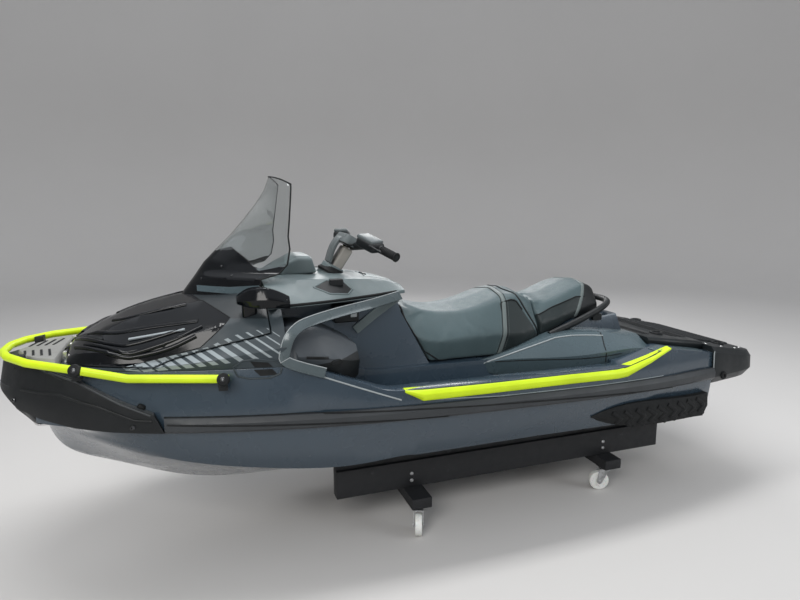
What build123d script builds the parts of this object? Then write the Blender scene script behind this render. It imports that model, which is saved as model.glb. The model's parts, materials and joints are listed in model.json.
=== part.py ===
from build123d import *

import os
from collections import namedtuple
from math import cos, radians, sin, tan

os.makedirs("parts", exist_ok=True)

# A three-seat personal watercraft with a stern extension, on a wheeled shop dolly.
# Millimetres. +X is towards the bow, +Y is port, +Z is up. The origin is on the floor,
# under the middle of the overall length.

# Driving dimensions of the craft
BOW_X = 1865
NOSE_LENGTH = 295
STERN_X = -1865
TRANSOM_X = -1480
RUN_FORE_X = 200
WIDEST_X = -300
BEAM = 1255
DRAWN_BEAM = 1255
BOW_POWER, BOW_ROOT = 2.7, 0.595
STERN_POWER, STERN_TAPER = 2.4, 0.317
SHEER_Z = 620
SHEER_SLOPE = 0.02
BAND_DEPTH = 22
BAND_HEIGHT = 52
BAND_SKIRT = 6
BUMPER_AFT_X = 1215
BUMPER_TOP_Z = 893
KEEL_Z = 200
FIT = 0.3
GAP = 6

# Upper deck, footwells and the raised spine under the seats
DECK_TOP_Z = 876
DECK_SHOULDER_Z = 690
DECK_LEAN = 20
DECK_NOSE_X = 1700
GUNWALE_Z = 743
STERN_DECK_Z = 730
STERN_RISE_Z = 785
FOOTWELL_Z = 500
FOOTWELL_INNER_Y = 268
GUNWALE_WIDTH = 122.5
FOOTWELL_OUTER_Y = BEAM / 2 - GUNWALE_WIDTH
FOOTWELL_FORE_X = 700
FOOTWELL_AFT_X = -860
FOOTWELL_CORNER = 60
TRAY_WALL = 8
TRAY_LIP = 40
DECK_TUCK = 5
SPINE_HALF = 235
SEAT_Z = 738
CONSOLE_Z = 1085

# Front lid, its hinge and the storage bin under it
LID_AFT_X = 800
LID_FRONT_X = BOW_X - NOSE_LENGTH
LID_SEAM_Z = 865
LID_SEAM_SLOPE = 0.26
COWL_AFT_X = 745
LID_SEAM_X = 1350
HINGE_SETBACK = 14
HOOD_HINGE_X, HOOD_HINGE_Z = LID_FRONT_X + HINGE_SETBACK, 915
HINGE_PIN_R = 5
KNUCKLE_R = 11
BIN_FORE_X, BIN_AFT_X = 1330, 880
BIN_HALF = 240
BIN_FLOOR_Z = 660
BIN_WALL = 5
LID_FLAT_Z = 893
CAP_RISE = 34
PIN_ROOM = 0.3
KNUCKLE_Y, KNUCKLE_WIDTH = 75, 50
LUG_Y, LUG_WIDTH = 150, 24

# Windshield
SCREEN_BASE_Z, SCREEN_TOP_Z = 1090, 1626
SCREEN_BASE_X, SCREEN_TOP_X = 1140, 722
SCREEN_CORNER_Z, SCREEN_CORNER_Y = 1590, 190
SCREEN_WALL = 5
MASK_TOP_Z = 1290
SCREEN_FOOT_Z = 1196

# Engine bay under the driver's seat
ENGINE_BAY_X = (-520, 110)
ENGINE_BAY_HALF = 205
ENGINE_BAY_Z = (310, 690)
ENGINE_ROOM = 15

# Seats and grab rail
SEAT_SPLIT_X = -588
GRAB_R = 17
FRAME_R = 17
MAT_INSET, MAT_THICK = 6, 6
MAT_CENTRE, MAT_LENGTH, MAT_WIDTH, MAT_CORNER = 205, 300, 600, 50

# Stern deck and extension
REAR_DECK_DRAWN_HALF = 430
REAR_DECK_FORE_X, REAR_DECK_FORE_Z = -1113, 818
REAR_DECK_STEP = 12
REAR_DECK_ROUND = 18
EXTENSION_BASE_Z = 545
EXTENSION_FORE_Z, EXTENSION_AFT_Z = 752, 676
REAR_ANCHORS = [(-1290, 290), (-1290, -290)]
EXTENSION_ANCHORS = [(-1690, 330), (-1690, -330)]
ANCHOR_R, ANCHOR_BORE_R, ANCHOR_DEPTH = 34, 22, 26
ANCHOR_RISE, ANCHOR_FLOOR = 12, 8

# Steering
COLUMN_X, COLUMN_Z = 446, 1176
COLUMN_RAKE = 30
COLUMN_R = 42
COLLAR_RISE = 36
COLUMN_PIN_R, COLUMN_PIN_DEPTH = 14, 50
PIN_FIT = 0.05
GRIP_R, GRIP_LENGTH = 17, 95
COLUMN_TOP = 130
BAR_R = 11

# Glovebox in the console, hinged at its aft edge
GLOVEBOX_FORE_X, GLOVEBOX_AFT_X = 302, 142
GLOVEBOX_HALF = 95
GLOVEBOX_FLOOR = 8
GLOVEBOX_EDGE = 6
GLOVEBOX_HINGE_X, GLOVEBOX_HINGE_Z = GLOVEBOX_AFT_X + 16, 1120
GLOVEBOX_PIN_R = 4

# Jet drive
JET_Z = 330
PUMP_FORE_X, PUMP_AFT_X = -1010, -1330
PUMP_R, PUMP_BORE_R, FLANGE_R = 100, 80, 114
TUNNEL_HALF = 130
TUNNEL_TOP_Z = 470
INTAKE_FORE_X = -560
INTAKE_AFT_X = -900
INTAKE_HALF = 78
PAD_FORE_X, PAD_HALF, PAD_TOP_Z = -500, 150, 270
IMPELLER_R = 78
SHAFT_R = 14
SHAFT_FORE_X = -700
NOZZLE_PIVOT_X = -1455
NOZZLE_BORE_R, NOZZLE_R = 45, 72
NOZZLE_TAPER_X, NOZZLE_AFT_X = -1500, -1560
NOZZLE_PIN_R = 8
ARM_LOW, ARM_HIGH = 76, 88
STATOR_VANES, BLADES = 7, 4
BUCKET_PIVOT_X = -1480
BUCKET_R, BUCKET_HALF, BUCKET_PIN_R = 110, 86, 7
PLATE_THICK, GRATE_BAR = 12, 9

# Boarding ladder and eyes
LADDER_X, LADDER_Y, LADDER_Z = -1815, 140, 524
LADDER_REACH, LADDER_PIN_R = 190, 6
BOW_EYE_X, BOW_EYE_Z = 1738, 588
STERN_EYE_X, STERN_EYE_Y, STERN_EYE_Z = -1508, 330, 505
EYE_THICK, EYE_BORE_R = 14, 11
BOW_RAIL_R = 20

# Dolly
BEAM_Y, BEAM_THICK = 330, 60
BEAM_FORE_X, BEAM_AFT_X = 520, -1280
BEAM_BASE_Z = 180
BAR_WIDTH, BAR_THICK = 95, 50
WHEEL_R, WHEEL_WIDTH = 50, 32
CASTER_TRAIL = 40
BEAM_TOP_Z = 312
BUNK_WIDTH = 42
KING_PIN_R, AXLE_R = 8, 6
PLATE_GAUGE, RACE_HEIGHT = 4, 8
FORK_HEAD_R, FORK_GAUGE = 26, 4


def half_beam(x):
    """Half the width of the craft's plan outline at station x."""
    if x > WIDEST_X:
        share = (x - WIDEST_X) / (BOW_X - WIDEST_X)
        return BEAM / 2 * (1 - share**BOW_POWER) ** BOW_ROOT
    share = (WIDEST_X - x) / (WIDEST_X - STERN_X)
    return BEAM / 2 * (1 - STERN_TAPER * share**STERN_POWER)


def side_y(x):
    """Half the width of hull and deck at the bond line, inside the rub band."""
    return half_beam(x) - BAND_DEPTH


def sheer_z(x):
    """Height of the bond line between hull and deck at station x."""
    return SHEER_Z + SHEER_SLOPE * x


def seam_z(x):
    """Height of the seam between front lid and cowl at station x."""
    return LID_SEAM_Z + LID_SEAM_SLOPE * (LID_SEAM_X - x)


def wide(y):
    """Half-width drawn for the drawn beam, carried over to the beam in use."""
    return y * BEAM / DRAWN_BEAM


def station(x):
    """Plane across the craft: local x is +Y and local y is +Z."""
    return Plane(origin=(x, 0, 0), x_dir=(0, 1, 0), z_dir=(1, 0, 0))


def section(x, half):
    """Symmetric cross-section, from its port half listed upwards, (y, z) each."""
    starboard = [(-y, z) for y, z in reversed(half) if y > 0]
    with BuildSketch(station(x)) as outline:
        with BuildLine():
            Polyline(*half, *starboard, close=True)
        make_face()
    return outline.sketch.face()


def outline_at(x, points):
    """Closed cross-section at station x from (y, z) points."""
    with BuildSketch(station(x)) as outline:
        with BuildLine():
            Polyline(*points, close=True)
        make_face()
    return outline.sketch.face()


def bend_radii(points):
    """Radius for each inner corner, as large as the shorter run beside it allows."""
    radii = []
    for before, corner, after in zip(points, points[1:], points[2:]):
        into = Vector(*corner) - Vector(*before)
        out = Vector(*after) - Vector(*corner)
        turn = into.get_angle(out)
        radii.append(0.45 * min(into.length, out.length) / tan(radians(turn / 2)))
    return radii


# Hull: keel, chine, spray crease and bond line at each station
Hull = namedtuple("Hull", "x keel_z chine_y chine_z spray_y spray_z")
HULL = [
    Hull(TRANSOM_X, KEEL_Z + 5, 468, 400, 492, 480),
    Hull(-1000, KEEL_Z, 514, 409, 545, 500),
    Hull(-400, KEEL_Z, 538, 428, 566, 505),
    Hull(200, KEEL_Z, 535, 425, 563, 507),
    Hull(500, KEEL_Z, 519, 415, 548, 507),
    Hull(800, 201, 484, 437, 513, 515),
    Hull(1080, 226, 432, 478, 455, 538),
    Hull(1350, 317, 338, 540, 360, 580),
    Hull(1520, 388, 242, 585, 262, 610),
    Hull(1630, 445, 150, 606, 168, 626),
    Hull(1700, 555, 60, 626, 72, 637),
]

def hull_section(r):
    """Section of the hull at one row of its table."""
    return section(r.x, [
        (0, r.keel_z), (wide(r.chine_y), r.chine_z), (wide(r.spray_y), r.spray_z),
        (side_y(r.x), sheer_z(r.x)), (0, sheer_z(r.x)),
    ])


RUN_ROWS = [r for r in HULL if r.x <= RUN_FORE_X]
BOW_ROWS = [r for r in HULL if r.x >= RUN_FORE_X]
with BuildPart() as hull_form:
    loft([hull_section(r) for r in RUN_ROWS], ruled=True)
    loft([hull_section(r) for r in BOW_ROWS])


def side_prism(points, half):
    """Side profile from (x, z) points, spread half a width to each side."""
    with BuildPart() as prism:
        with BuildSketch(Plane.XZ):
            with BuildLine():
                Polyline(*points, close=True)
            make_face()
        extrude(amount=half, both=True)
    return prism.part


def block(x_ends, half, z_ends):
    """Box between two stations and two heights, spread half a width to each side."""
    return side_prism([
        (x_ends[0], z_ends[0]), (x_ends[1], z_ends[0]), (x_ends[1], z_ends[1]), (x_ends[0], z_ends[1]),
    ], half)


def footwell(outer, floor_z, top_z):
    """Pair of footwell volumes, grown outwards by outer all round."""
    with BuildPart() as wells:
        with BuildSketch(Plane.XY.offset(floor_z)):
            middle = ((FOOTWELL_FORE_X + FOOTWELL_AFT_X) / 2, (FOOTWELL_INNER_Y + FOOTWELL_OUTER_Y) / 2)
            with Locations(middle):
                RectangleRounded(
                    FOOTWELL_FORE_X - FOOTWELL_AFT_X + 2 * outer,
                    FOOTWELL_OUTER_Y - FOOTWELL_INNER_Y + 2 * outer,
                    FOOTWELL_CORNER + outer,
                )
        extrude(amount=top_z - floor_z)
        mirror(about=Plane.XZ)
    return wells.part


# Hull: the form, with a flat pad under the jet drive, open for pump, intake and engine
with BuildPart() as hull:
    add(hull_form.part)
    add(block((TRANSOM_X, PAD_FORE_X), PAD_HALF, (KEEL_Z, PAD_TOP_Z)))
    add(footwell(TRAY_WALL, FOOTWELL_Z - TRAY_WALL, SHEER_Z + TRAY_LIP), mode=Mode.SUBTRACT)
    add(block(ENGINE_BAY_X, ENGINE_BAY_HALF, ENGINE_BAY_Z), mode=Mode.SUBTRACT)
    add(block((TRANSOM_X - GAP, PUMP_FORE_X), TUNNEL_HALF, (KEEL_Z - GAP, TUNNEL_TOP_Z)), mode=Mode.SUBTRACT)
    add(
        side_prism([
            (INTAKE_FORE_X, KEEL_Z - GAP), (PUMP_FORE_X - GAP, JET_Z + PUMP_BORE_R),
            (PUMP_FORE_X - GAP, JET_Z - PUMP_BORE_R), (INTAKE_AFT_X, KEEL_Z - GAP),
        ], INTAKE_HALF),
        mode=Mode.SUBTRACT,
    )
    with Locations(Plane(origin=(SHAFT_FORE_X + GAP, 0, JET_Z), z_dir=(-1, 0, 0))):
        Cylinder(
            SHAFT_R + FIT, SHAFT_FORE_X + GAP - PUMP_FORE_X,
            align=(Align.CENTER, Align.CENTER, Align.MIN), mode=Mode.SUBTRACT,
        )
hull.part.label = "hull"
export_step(hull.part, "parts/hull.step")

with BuildPart() as engine_block:
    add(block(
        (ENGINE_BAY_X[0] + ENGINE_ROOM, ENGINE_BAY_X[1] - ENGINE_ROOM),
        ENGINE_BAY_HALF - ENGINE_ROOM,
        (ENGINE_BAY_Z[0], ENGINE_BAY_Z[1] - ENGINE_ROOM),
    ))
engine_block.part.label = "engine_block"
export_step(engine_block.part, "parts/engine_block.step")

# Deck: sections below a side profile, with the footwells cut and the seat spine added
DECK_STATIONS = [TRANSOM_X, -1150, -700, -200, 280, 700, 1070, 1340, 1560, DECK_NOSE_X]
DECK_PROFILE = [
    (DECK_NOSE_X + 60, 480, 0), (DECK_NOSE_X + 60, DECK_TOP_Z + 24, 0), (735, DECK_TOP_Z + 24, 40),
    (335, GUNWALE_Z, 260), (-880, STERN_DECK_Z, 260), (-1130, STERN_RISE_Z, 90),
    (TRANSOM_X - 60, 711, 0), (TRANSOM_X - 60, 480, 0),
]
SPINE_PROFILE = [
    (COWL_AFT_X, DECK_SHOULDER_Z), (COWL_AFT_X, CONSOLE_Z), (190, CONSOLE_Z), (165, 1000), (20, SEAT_Z),
    (-360, SEAT_Z), (-620, 815), (-800, 890), (-1060, 912), (-1110, 800), (-1110, DECK_SHOULDER_Z),
]
with BuildPart() as deck:
    loft([
        section(x, [
            (0, sheer_z(x)), (side_y(x), sheer_z(x)), (side_y(x) - DECK_TUCK, DECK_SHOULDER_Z),
            (side_y(x) - DECK_LEAN, DECK_TOP_Z), (0, DECK_TOP_Z),
        ])
        for x in DECK_STATIONS
    ])
    with BuildSketch(Plane.XZ):
        with BuildLine():
            FilletPolyline(
                *[(x, z) for x, z, _ in DECK_PROFILE], radius=[r for _, _, r in DECK_PROFILE], close=True,
            )
        make_face()
    extrude(amount=BEAM, both=True, mode=Mode.INTERSECT)
    add(side_prism(SPINE_PROFILE, SPINE_HALF))
    add(footwell(TRAY_WALL, FOOTWELL_Z - TRAY_WALL, SHEER_Z + TRAY_LIP))
    add(footwell(0, FOOTWELL_Z, DECK_TOP_Z + GAP), mode=Mode.SUBTRACT)
    add(block(ENGINE_BAY_X, ENGINE_BAY_HALF, ENGINE_BAY_Z), mode=Mode.SUBTRACT)
    add(block((BIN_AFT_X, BIN_FORE_X), BIN_HALF, (BIN_FLOOR_Z, DECK_TOP_Z + GAP)), mode=Mode.SUBTRACT)
deck.part.label = "deck"
export_step(deck.part, "parts/deck.step")


def keep(part, label):
    """Label a finished piece and write it under its own name."""
    part.label = label
    export_step(part, f"parts/{label}.step")


# Bow bumper: the plan outline rising in two lofts, trimmed in side view to a chin
BUMPER_LEVELS = [(540, 0), (760, 0), (905, 30)]
BUMPER_PROFILE = [
    (1215, 640), (1250, 716), (1368, 764), (1525, 846), (1690, BUMPER_TOP_Z),
    (1890, BUMPER_TOP_Z), (1890, 800),
    (1776, 712), (1677, 682), (1543, 656), (1400, 645),
]
CHIN_LEVELS = [(600, 65), (790, 5)]
CHIN_PROFILE = [(1890, 790), (1819, 660), (1760, 616), (1640, 618), (1640, 700), (1740, 790)]
CHIN_HALF = 130


def plan_outline(z, inset):
    """Plan outline of the bow at height z, drawn in by inset."""
    stations = [BUMPER_AFT_X, 1350, 1500, 1620, 1720, 1790, 1835]
    port = [(x - inset * (x - BUMPER_AFT_X) / (BOW_X - BUMPER_AFT_X), half_beam(x) - inset) for x in stations]
    with BuildSketch(Plane.XY.offset(z)) as outline:
        with BuildLine():
            Spline(*port, (BOW_X - inset, 0), *[(x, -y) for x, y in reversed(port)])
            Line(port[0], (port[0][0], -port[0][1]))
        make_face()
    return outline.sketch.face()


with BuildPart() as chin:
    loft([plan_outline(z, inset) for z, inset in CHIN_LEVELS], ruled=True)
    add(side_prism(CHIN_PROFILE, CHIN_HALF), mode=Mode.INTERSECT)
with BuildPart() as bow_bumper:
    loft([plan_outline(z, inset) for z, inset in BUMPER_LEVELS], ruled=True)
    add(side_prism(BUMPER_PROFILE, BEAM), mode=Mode.INTERSECT)
    add(chin.part)
    add(hull.part, mode=Mode.SUBTRACT)
    add(deck.part, mode=Mode.SUBTRACT)
    add(block((BIN_AFT_X, DECK_NOSE_X - 50), BIN_HALF, (BIN_FLOOR_Z, DECK_TOP_Z)), mode=Mode.SUBTRACT)

# Rub bands along both sides, over the bond line
BAND_STATIONS = [TRANSOM_X, -1150, -700, -200, 280, 700, 1000, BUMPER_AFT_X]


def band_section(x):
    """Section of the port rub band, reaching inside hull and deck."""
    low, high = sheer_z(x) - BAND_SKIRT, sheer_z(x) + BAND_HEIGHT
    inner, outer = side_y(x) - 2 * BAND_DEPTH, half_beam(x)
    return outline_at(x, [
        (inner, low), (outer - 8, low), (outer, low + 10),
        (outer, high - 20), (outer - 12, high), (inner, high),
    ])


with BuildPart() as rub_bands:
    loft([band_section(x) for x in BAND_STATIONS])
    add(hull.part, mode=Mode.SUBTRACT)
    add(deck.part, mode=Mode.SUBTRACT)
    mirror(about=Plane.XZ)

# Upper body: one form over the bow, parted along the seam into front lid and cowl.
# Share is the part of the way from the cowl's aft edge to the lid's front.
Upper = namedtuple("Upper", "share side_y side_z shoulder_y shoulder_z pod_y pod_z crest_y crest_z top_z")
UPPER = [
    Upper(0.000, 530, 955, 470, 1040, 398, 1089, 285, 1178, 1195),
    Upper(0.248, 494, 925, 432, 968, 385, 1035, 215, 1118, 1142),
    Upper(0.491, 447, 900, 392, 915, 372, 985, 175, 1085, 1108),
    Upper(0.733, 382, 890, 352, 900, 335, 945, 165, 1035, 1056),
    Upper(0.915, 304, 886, 292, 894, 266, 935, 130, 975, 985),
    Upper(1.000, 252, 884, 240, 889, 205, 908, 100, 935, 942),
]


def upper_section(r):
    """Section of the upper body at one row of its table."""
    x = COWL_AFT_X + r.share * (LID_FRONT_X - COWL_AFT_X)
    return section(x, [
        (0, DECK_TOP_Z), (side_y(x) - DECK_LEAN - 4, DECK_TOP_Z), (wide(r.side_y), r.side_z),
        (wide(r.shoulder_y), r.shoulder_z), (wide(r.pod_y), r.pod_z),
        (wide(r.crest_y), r.crest_z), (0, r.top_z),
    ])


with BuildPart() as upper_body:
    loft([upper_section(r) for r in UPPER])

SEAM_FLAT_X = LID_SEAM_X - (LID_FLAT_Z - LID_SEAM_Z) / LID_SEAM_SLOPE
with BuildPart() as bow_cowl:
    add(upper_body.part)
    add(
        side_prism([
            (COWL_AFT_X - GAP, DECK_TOP_Z - GAP), (LID_FRONT_X + GAP, DECK_TOP_Z - GAP),
            (LID_FRONT_X + GAP, LID_FLAT_Z - GAP), (SEAM_FLAT_X, LID_FLAT_Z - GAP),
            (LID_AFT_X - GAP, seam_z(LID_AFT_X) - GAP), (LID_AFT_X - GAP, CONSOLE_Z),
            (COWL_AFT_X - GAP, CONSOLE_Z),
        ], BEAM),
        mode=Mode.INTERSECT,
    )
    add(block((BIN_AFT_X, BIN_FORE_X), BIN_HALF, (BIN_FLOOR_Z, CONSOLE_Z)), mode=Mode.SUBTRACT)

with BuildPart() as hood_lid:
    add(upper_body.part)
    add(
        side_prism([
            (LID_AFT_X, seam_z(LID_AFT_X)), (SEAM_FLAT_X, LID_FLAT_Z), (LID_FRONT_X + GAP, LID_FLAT_Z),
            (LID_FRONT_X + GAP, 1300), (LID_AFT_X, 1300),
        ], BEAM),
        mode=Mode.INTERSECT,
    )
    with BuildSketch(Plane.XZ) as arm:
        with BuildLine():
            Polyline(
                (LID_FRONT_X - 40, LID_FLAT_Z + 5), (HOOD_HINGE_X, HOOD_HINGE_Z - KNUCKLE_R),
                (HOOD_HINGE_X, HOOD_HINGE_Z + KNUCKLE_R), (LID_FRONT_X - 40, LID_FLAT_Z + 25), close=True,
            )
        make_face()
        with Locations((HOOD_HINGE_X, HOOD_HINGE_Z)):
            Circle(KNUCKLE_R)
    for side in (-1, 1):
        extrude(arm.sketch.moved(Location((0, side * KNUCKLE_Y, 0))), amount=KNUCKLE_WIDTH / 2, both=True)
    with Locations(Plane(origin=(HOOD_HINGE_X, 0, HOOD_HINGE_Z), z_dir=(0, 1, 0))):
        Cylinder(HINGE_PIN_R + PIN_ROOM, BEAM, mode=Mode.SUBTRACT)

with BuildPart() as hood_hinge:
    for y in (-LUG_Y, 0, LUG_Y):
        with BuildSketch(Plane.XZ.offset(-y)):
            with BuildLine():
                Polyline(
                    (HOOD_HINGE_X - 9, DECK_TOP_Z), (HOOD_HINGE_X + 12, DECK_TOP_Z),
                    (HOOD_HINGE_X + 9, HOOD_HINGE_Z), (HOOD_HINGE_X - 9, HOOD_HINGE_Z), close=True,
                )
            make_face()
            with Locations((HOOD_HINGE_X, HOOD_HINGE_Z)):
                Circle(9)
        extrude(amount=LUG_WIDTH / 2, both=True)
    with Locations(Plane(origin=(HOOD_HINGE_X, 0, HOOD_HINGE_Z), z_dir=(0, 1, 0))):
        Cylinder(HINGE_PIN_R, 2 * LUG_Y)
    add(bow_cowl.part, mode=Mode.SUBTRACT)
keep(bow_bumper.part, "bow_bumper")
keep(rub_bands.part, "rub_bands")
keep(bow_cowl.part, "bow_cowl")
keep(hood_lid.part, "hood_lid")
keep(hood_hinge.part, "hood_hinge")

# Bow cap, storage bin
CAP_OUTLINE = [(32, -238), (120, -185), (178, -112), (226, 0)]
with BuildPart() as bow_cap:
    with BuildSketch(Plane.XY.offset(DECK_TOP_Z)):
        with BuildLine():
            starboard = [(LID_FRONT_X + x, wide(y)) for x, y in CAP_OUTLINE]
            Polyline(*starboard, *[(x, -y) for x, y in reversed(starboard) if y < 0], close=True)
        make_face()
    extrude(amount=CAP_RISE, taper=20)
    add(bow_bumper.part, mode=Mode.SUBTRACT)
    add(deck.part, mode=Mode.SUBTRACT)
keep(bow_cap.part, "bow_cap")

with BuildPart() as storage_bin:
    add(block((BIN_AFT_X, BIN_FORE_X), BIN_HALF, (BIN_FLOOR_Z, DECK_TOP_Z)))
    add(
        block(
            (BIN_AFT_X + BIN_WALL, BIN_FORE_X - BIN_WALL), BIN_HALF - BIN_WALL,
            (BIN_FLOOR_Z + BIN_WALL, CONSOLE_Z),
        ),
        mode=Mode.SUBTRACT,
    )
keep(storage_bin.part, "storage_bin")

# Console over the spine, with the raised collar of the steering column
Console = namedtuple("Console", "x seam_y crest_y crest_z top_z")
CONSOLE = [
    Console(130, 192, 118, 1116, 1120),
    Console(250, 248, 160, 1150, 1157),
    Console(400, 306, 212, 1168, 1175),
    Console(600, 364, 250, 1180, 1192),
    Console(LID_AFT_X - GAP, 400, 266, 1172, 1188),
]


def column_plane(height):
    """Plane square to the steering axis, at a height along it."""
    rake = radians(COLUMN_RAKE)
    return Plane(
        origin=(COLUMN_X - height * sin(rake), 0, COLUMN_Z + height * cos(rake)),
        x_dir=(cos(rake), 0, sin(rake)), z_dir=(-sin(rake), 0, cos(rake)),
    )


with BuildPart() as console_form:
    loft([
        section(r.x, [
            (0, CONSOLE_Z), (wide(r.seam_y), CONSOLE_Z), (wide(r.seam_y) - 3, CONSOLE_Z + 14),
            (wide(r.crest_y), r.crest_z), (0, r.top_z),
        ])
        for r in CONSOLE
    ])
with BuildPart() as glovebox_space:
    with BuildSketch(Plane.XY.offset(CONSOLE_Z + GLOVEBOX_FLOOR)):
        with Locations(((GLOVEBOX_FORE_X + GLOVEBOX_AFT_X) / 2, 0)):
            Rectangle(GLOVEBOX_FORE_X - GLOVEBOX_AFT_X, 2 * GLOVEBOX_HALF)
    extrude(amount=120)
with BuildPart() as console:
    add(console_form.part)
    with BuildSketch(column_plane(-60)):
        Circle(COLUMN_R + 22)
    extrude(amount=60 + COLLAR_RISE, taper=6)
    add(block((0, BOW_X), BEAM, (CONSOLE_Z - 200, CONSOLE_Z)), mode=Mode.SUBTRACT)
    with BuildSketch(column_plane(COLLAR_RISE)):
        Circle(COLUMN_PIN_R + PIN_FIT)
    extrude(amount=-COLUMN_PIN_DEPTH, mode=Mode.SUBTRACT)
    add(glovebox_space.part, mode=Mode.SUBTRACT)
    with Locations(Plane(origin=(GLOVEBOX_HINGE_X, 0, GLOVEBOX_HINGE_Z), z_dir=(0, 1, 0))):
        Cylinder(GLOVEBOX_PIN_R + GAP, 2 * GLOVEBOX_HALF - 30, mode=Mode.SUBTRACT)
        Cylinder(GLOVEBOX_PIN_R + PIN_FIT, 2 * GLOVEBOX_HALF + 20, mode=Mode.SUBTRACT)
keep(console.part, "console")

with BuildPart() as glovebox_lid:
    add(console_form.part)
    add(
        block(
            (GLOVEBOX_AFT_X + GLOVEBOX_EDGE, GLOVEBOX_FORE_X - GLOVEBOX_EDGE),
            GLOVEBOX_HALF - GLOVEBOX_EDGE, (CONSOLE_Z + GLOVEBOX_FLOOR + 12, 1300),
        ),
        mode=Mode.INTERSECT,
    )
    with Locations(Plane(origin=(GLOVEBOX_HINGE_X, 0, GLOVEBOX_HINGE_Z), z_dir=(0, 1, 0))):
        Cylinder(GLOVEBOX_PIN_R, 2 * GLOVEBOX_HALF + 16)
keep(glovebox_lid.part, "glovebox_lid")

with BuildPart() as gauge:
    with BuildSketch(Plane(origin=(660, 0, 1150), x_dir=(0, 1, 0), z_dir=(-0.64, 0, 0.77))):
        RectangleRounded(200, 110, 25)
    extrude(amount=90)
    add(console.part, mode=Mode.SUBTRACT)
keep(gauge.part, "gauge")

# Windshield: a bent screen, its lower part the black mask
Screen = namedtuple("Screen", "z nose_x tail_x half_y nose_r")
SCREEN = [
    Screen(SCREEN_BASE_Z, SCREEN_BASE_X, 805, 278, 110),
    Screen(1260, 1016, 696, 262, 130),
    Screen(1440, 838, 666, 232, 150),
    Screen(1560, 744, 656, 205, 170),
    Screen(SCREEN_TOP_Z, SCREEN_TOP_X, 652, 190, 180),
]


def screen_outline(r, inset):
    """Bent outline of the screen at one height, drawn in by inset."""
    nose = (r.nose_x - 1.6 * inset, 0)
    tail_x, half_y = r.tail_x - 2 * inset, r.half_y - 0.6 * inset
    with BuildSketch(Plane.XY.offset(r.z)) as outline:
        with BuildLine():
            FilletPolyline((tail_x, -half_y), nose, (tail_x, half_y), radius=r.nose_r)
            Line((tail_x, half_y), (tail_x, -half_y))
        make_face()
    return outline.sketch.face()


with BuildPart() as screen_shell:
    loft([screen_outline(r, 0) for r in SCREEN])
    loft([screen_outline(r, SCREEN_WALL) for r in SCREEN], mode=Mode.SUBTRACT)
    add(upper_body.part, mode=Mode.SUBTRACT)
    add(block((400, LID_AFT_X + GAP), BEAM, (1000, SCREEN_FOOT_Z)), mode=Mode.SUBTRACT)
    with BuildSketch(Plane.YZ):
        with BuildLine():
            ThreePointArc(
                (-SCREEN_CORNER_Y, SCREEN_CORNER_Z), (0, SCREEN_TOP_Z), (SCREEN_CORNER_Y, SCREEN_CORNER_Z),
            )
            Polyline(
                (SCREEN_CORNER_Y, SCREEN_CORNER_Z), (BEAM, SCREEN_CORNER_Z), (BEAM, 1000),
                (-BEAM, 1000), (-BEAM, SCREEN_CORNER_Z), (-SCREEN_CORNER_Y, SCREEN_CORNER_Z),
            )
        make_face()
    extrude(amount=BOW_X, mode=Mode.INTERSECT)
with BuildPart() as windshield:
    add(screen_shell.part)
    split(bisect_by=Plane.XY.offset(MASK_TOP_Z), keep=Keep.TOP)
with BuildPart() as windshield_mask:
    add(screen_shell.part)
    split(bisect_by=Plane.XY.offset(MASK_TOP_Z), keep=Keep.BOTTOM)
keep(windshield.part, "windshield")
keep(windshield_mask.part, "windshield_mask")

# Mirrors on the lid's shoulders
Mirror = namedtuple("Mirror", "x inner_y outer_y low_z high_z")
MIRROR = [
    Mirror(915, 340, 384, 1112, 1140),
    Mirror(860, 345, 432, 1100, 1172),
    Mirror(790, 408, 456, 1098, 1176),
    Mirror(712, 412, 450, 1092, 1140),
]
with BuildPart() as mirrors:
    loft([
        outline_at(r.x, [
            (wide(r.inner_y), r.low_z), (wide(r.outer_y) - 12, r.low_z),
            (wide(r.outer_y), (r.low_z + r.high_z) / 2 - 4),
            (wide(r.outer_y) - 22, r.high_z), (wide(r.inner_y), r.high_z),
        ])
        for r in MIRROR
    ])
    with BuildSketch(Plane.XY.offset(1040)):
        with Locations((865, wide(352))):
            RectangleRounded(60, 46, 12)
    extrude(amount=90)
    add(upper_body.part, mode=Mode.SUBTRACT)
    add(screen_shell.part, mode=Mode.SUBTRACT)
    mirror(about=Plane.XZ)
keep(mirrors.part, "mirrors")

# Steering column, handlebar, grips, pad and levers
BAR_ROUTE = [(240, 395, 1276), (306, 250, 1322), (346, 70, 1300)]


def across(points):
    """Route from port to starboard through points given for the port side."""
    return [*points, *[(x, -y, z) for x, y, z in reversed(points) if y > 0]]


def tube(points, radius):
    """Round tube along a route of straight runs joined by arcs."""
    with BuildLine() as route:
        FilletPolyline(*points, radius=bend_radii(points))
    with BuildPart() as pipe:
        with BuildSketch(Plane(origin=points[0], z_dir=Vector(*points[1]) - Vector(*points[0]))):
            Circle(radius)
        sweep(path=route.line)
    return pipe.part


def along(start, end, reach):
    """Plane at a distance from start, square to the line from start to end."""
    way = (Vector(*end) - Vector(*start)).normalized()
    return Plane(origin=Vector(*start) + way * reach, z_dir=way)


bar_tube = tube(across(BAR_ROUTE), BAR_R)
with BuildPart() as handlebar:
    add(bar_tube)
keep(handlebar.part, "handlebar")

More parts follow.
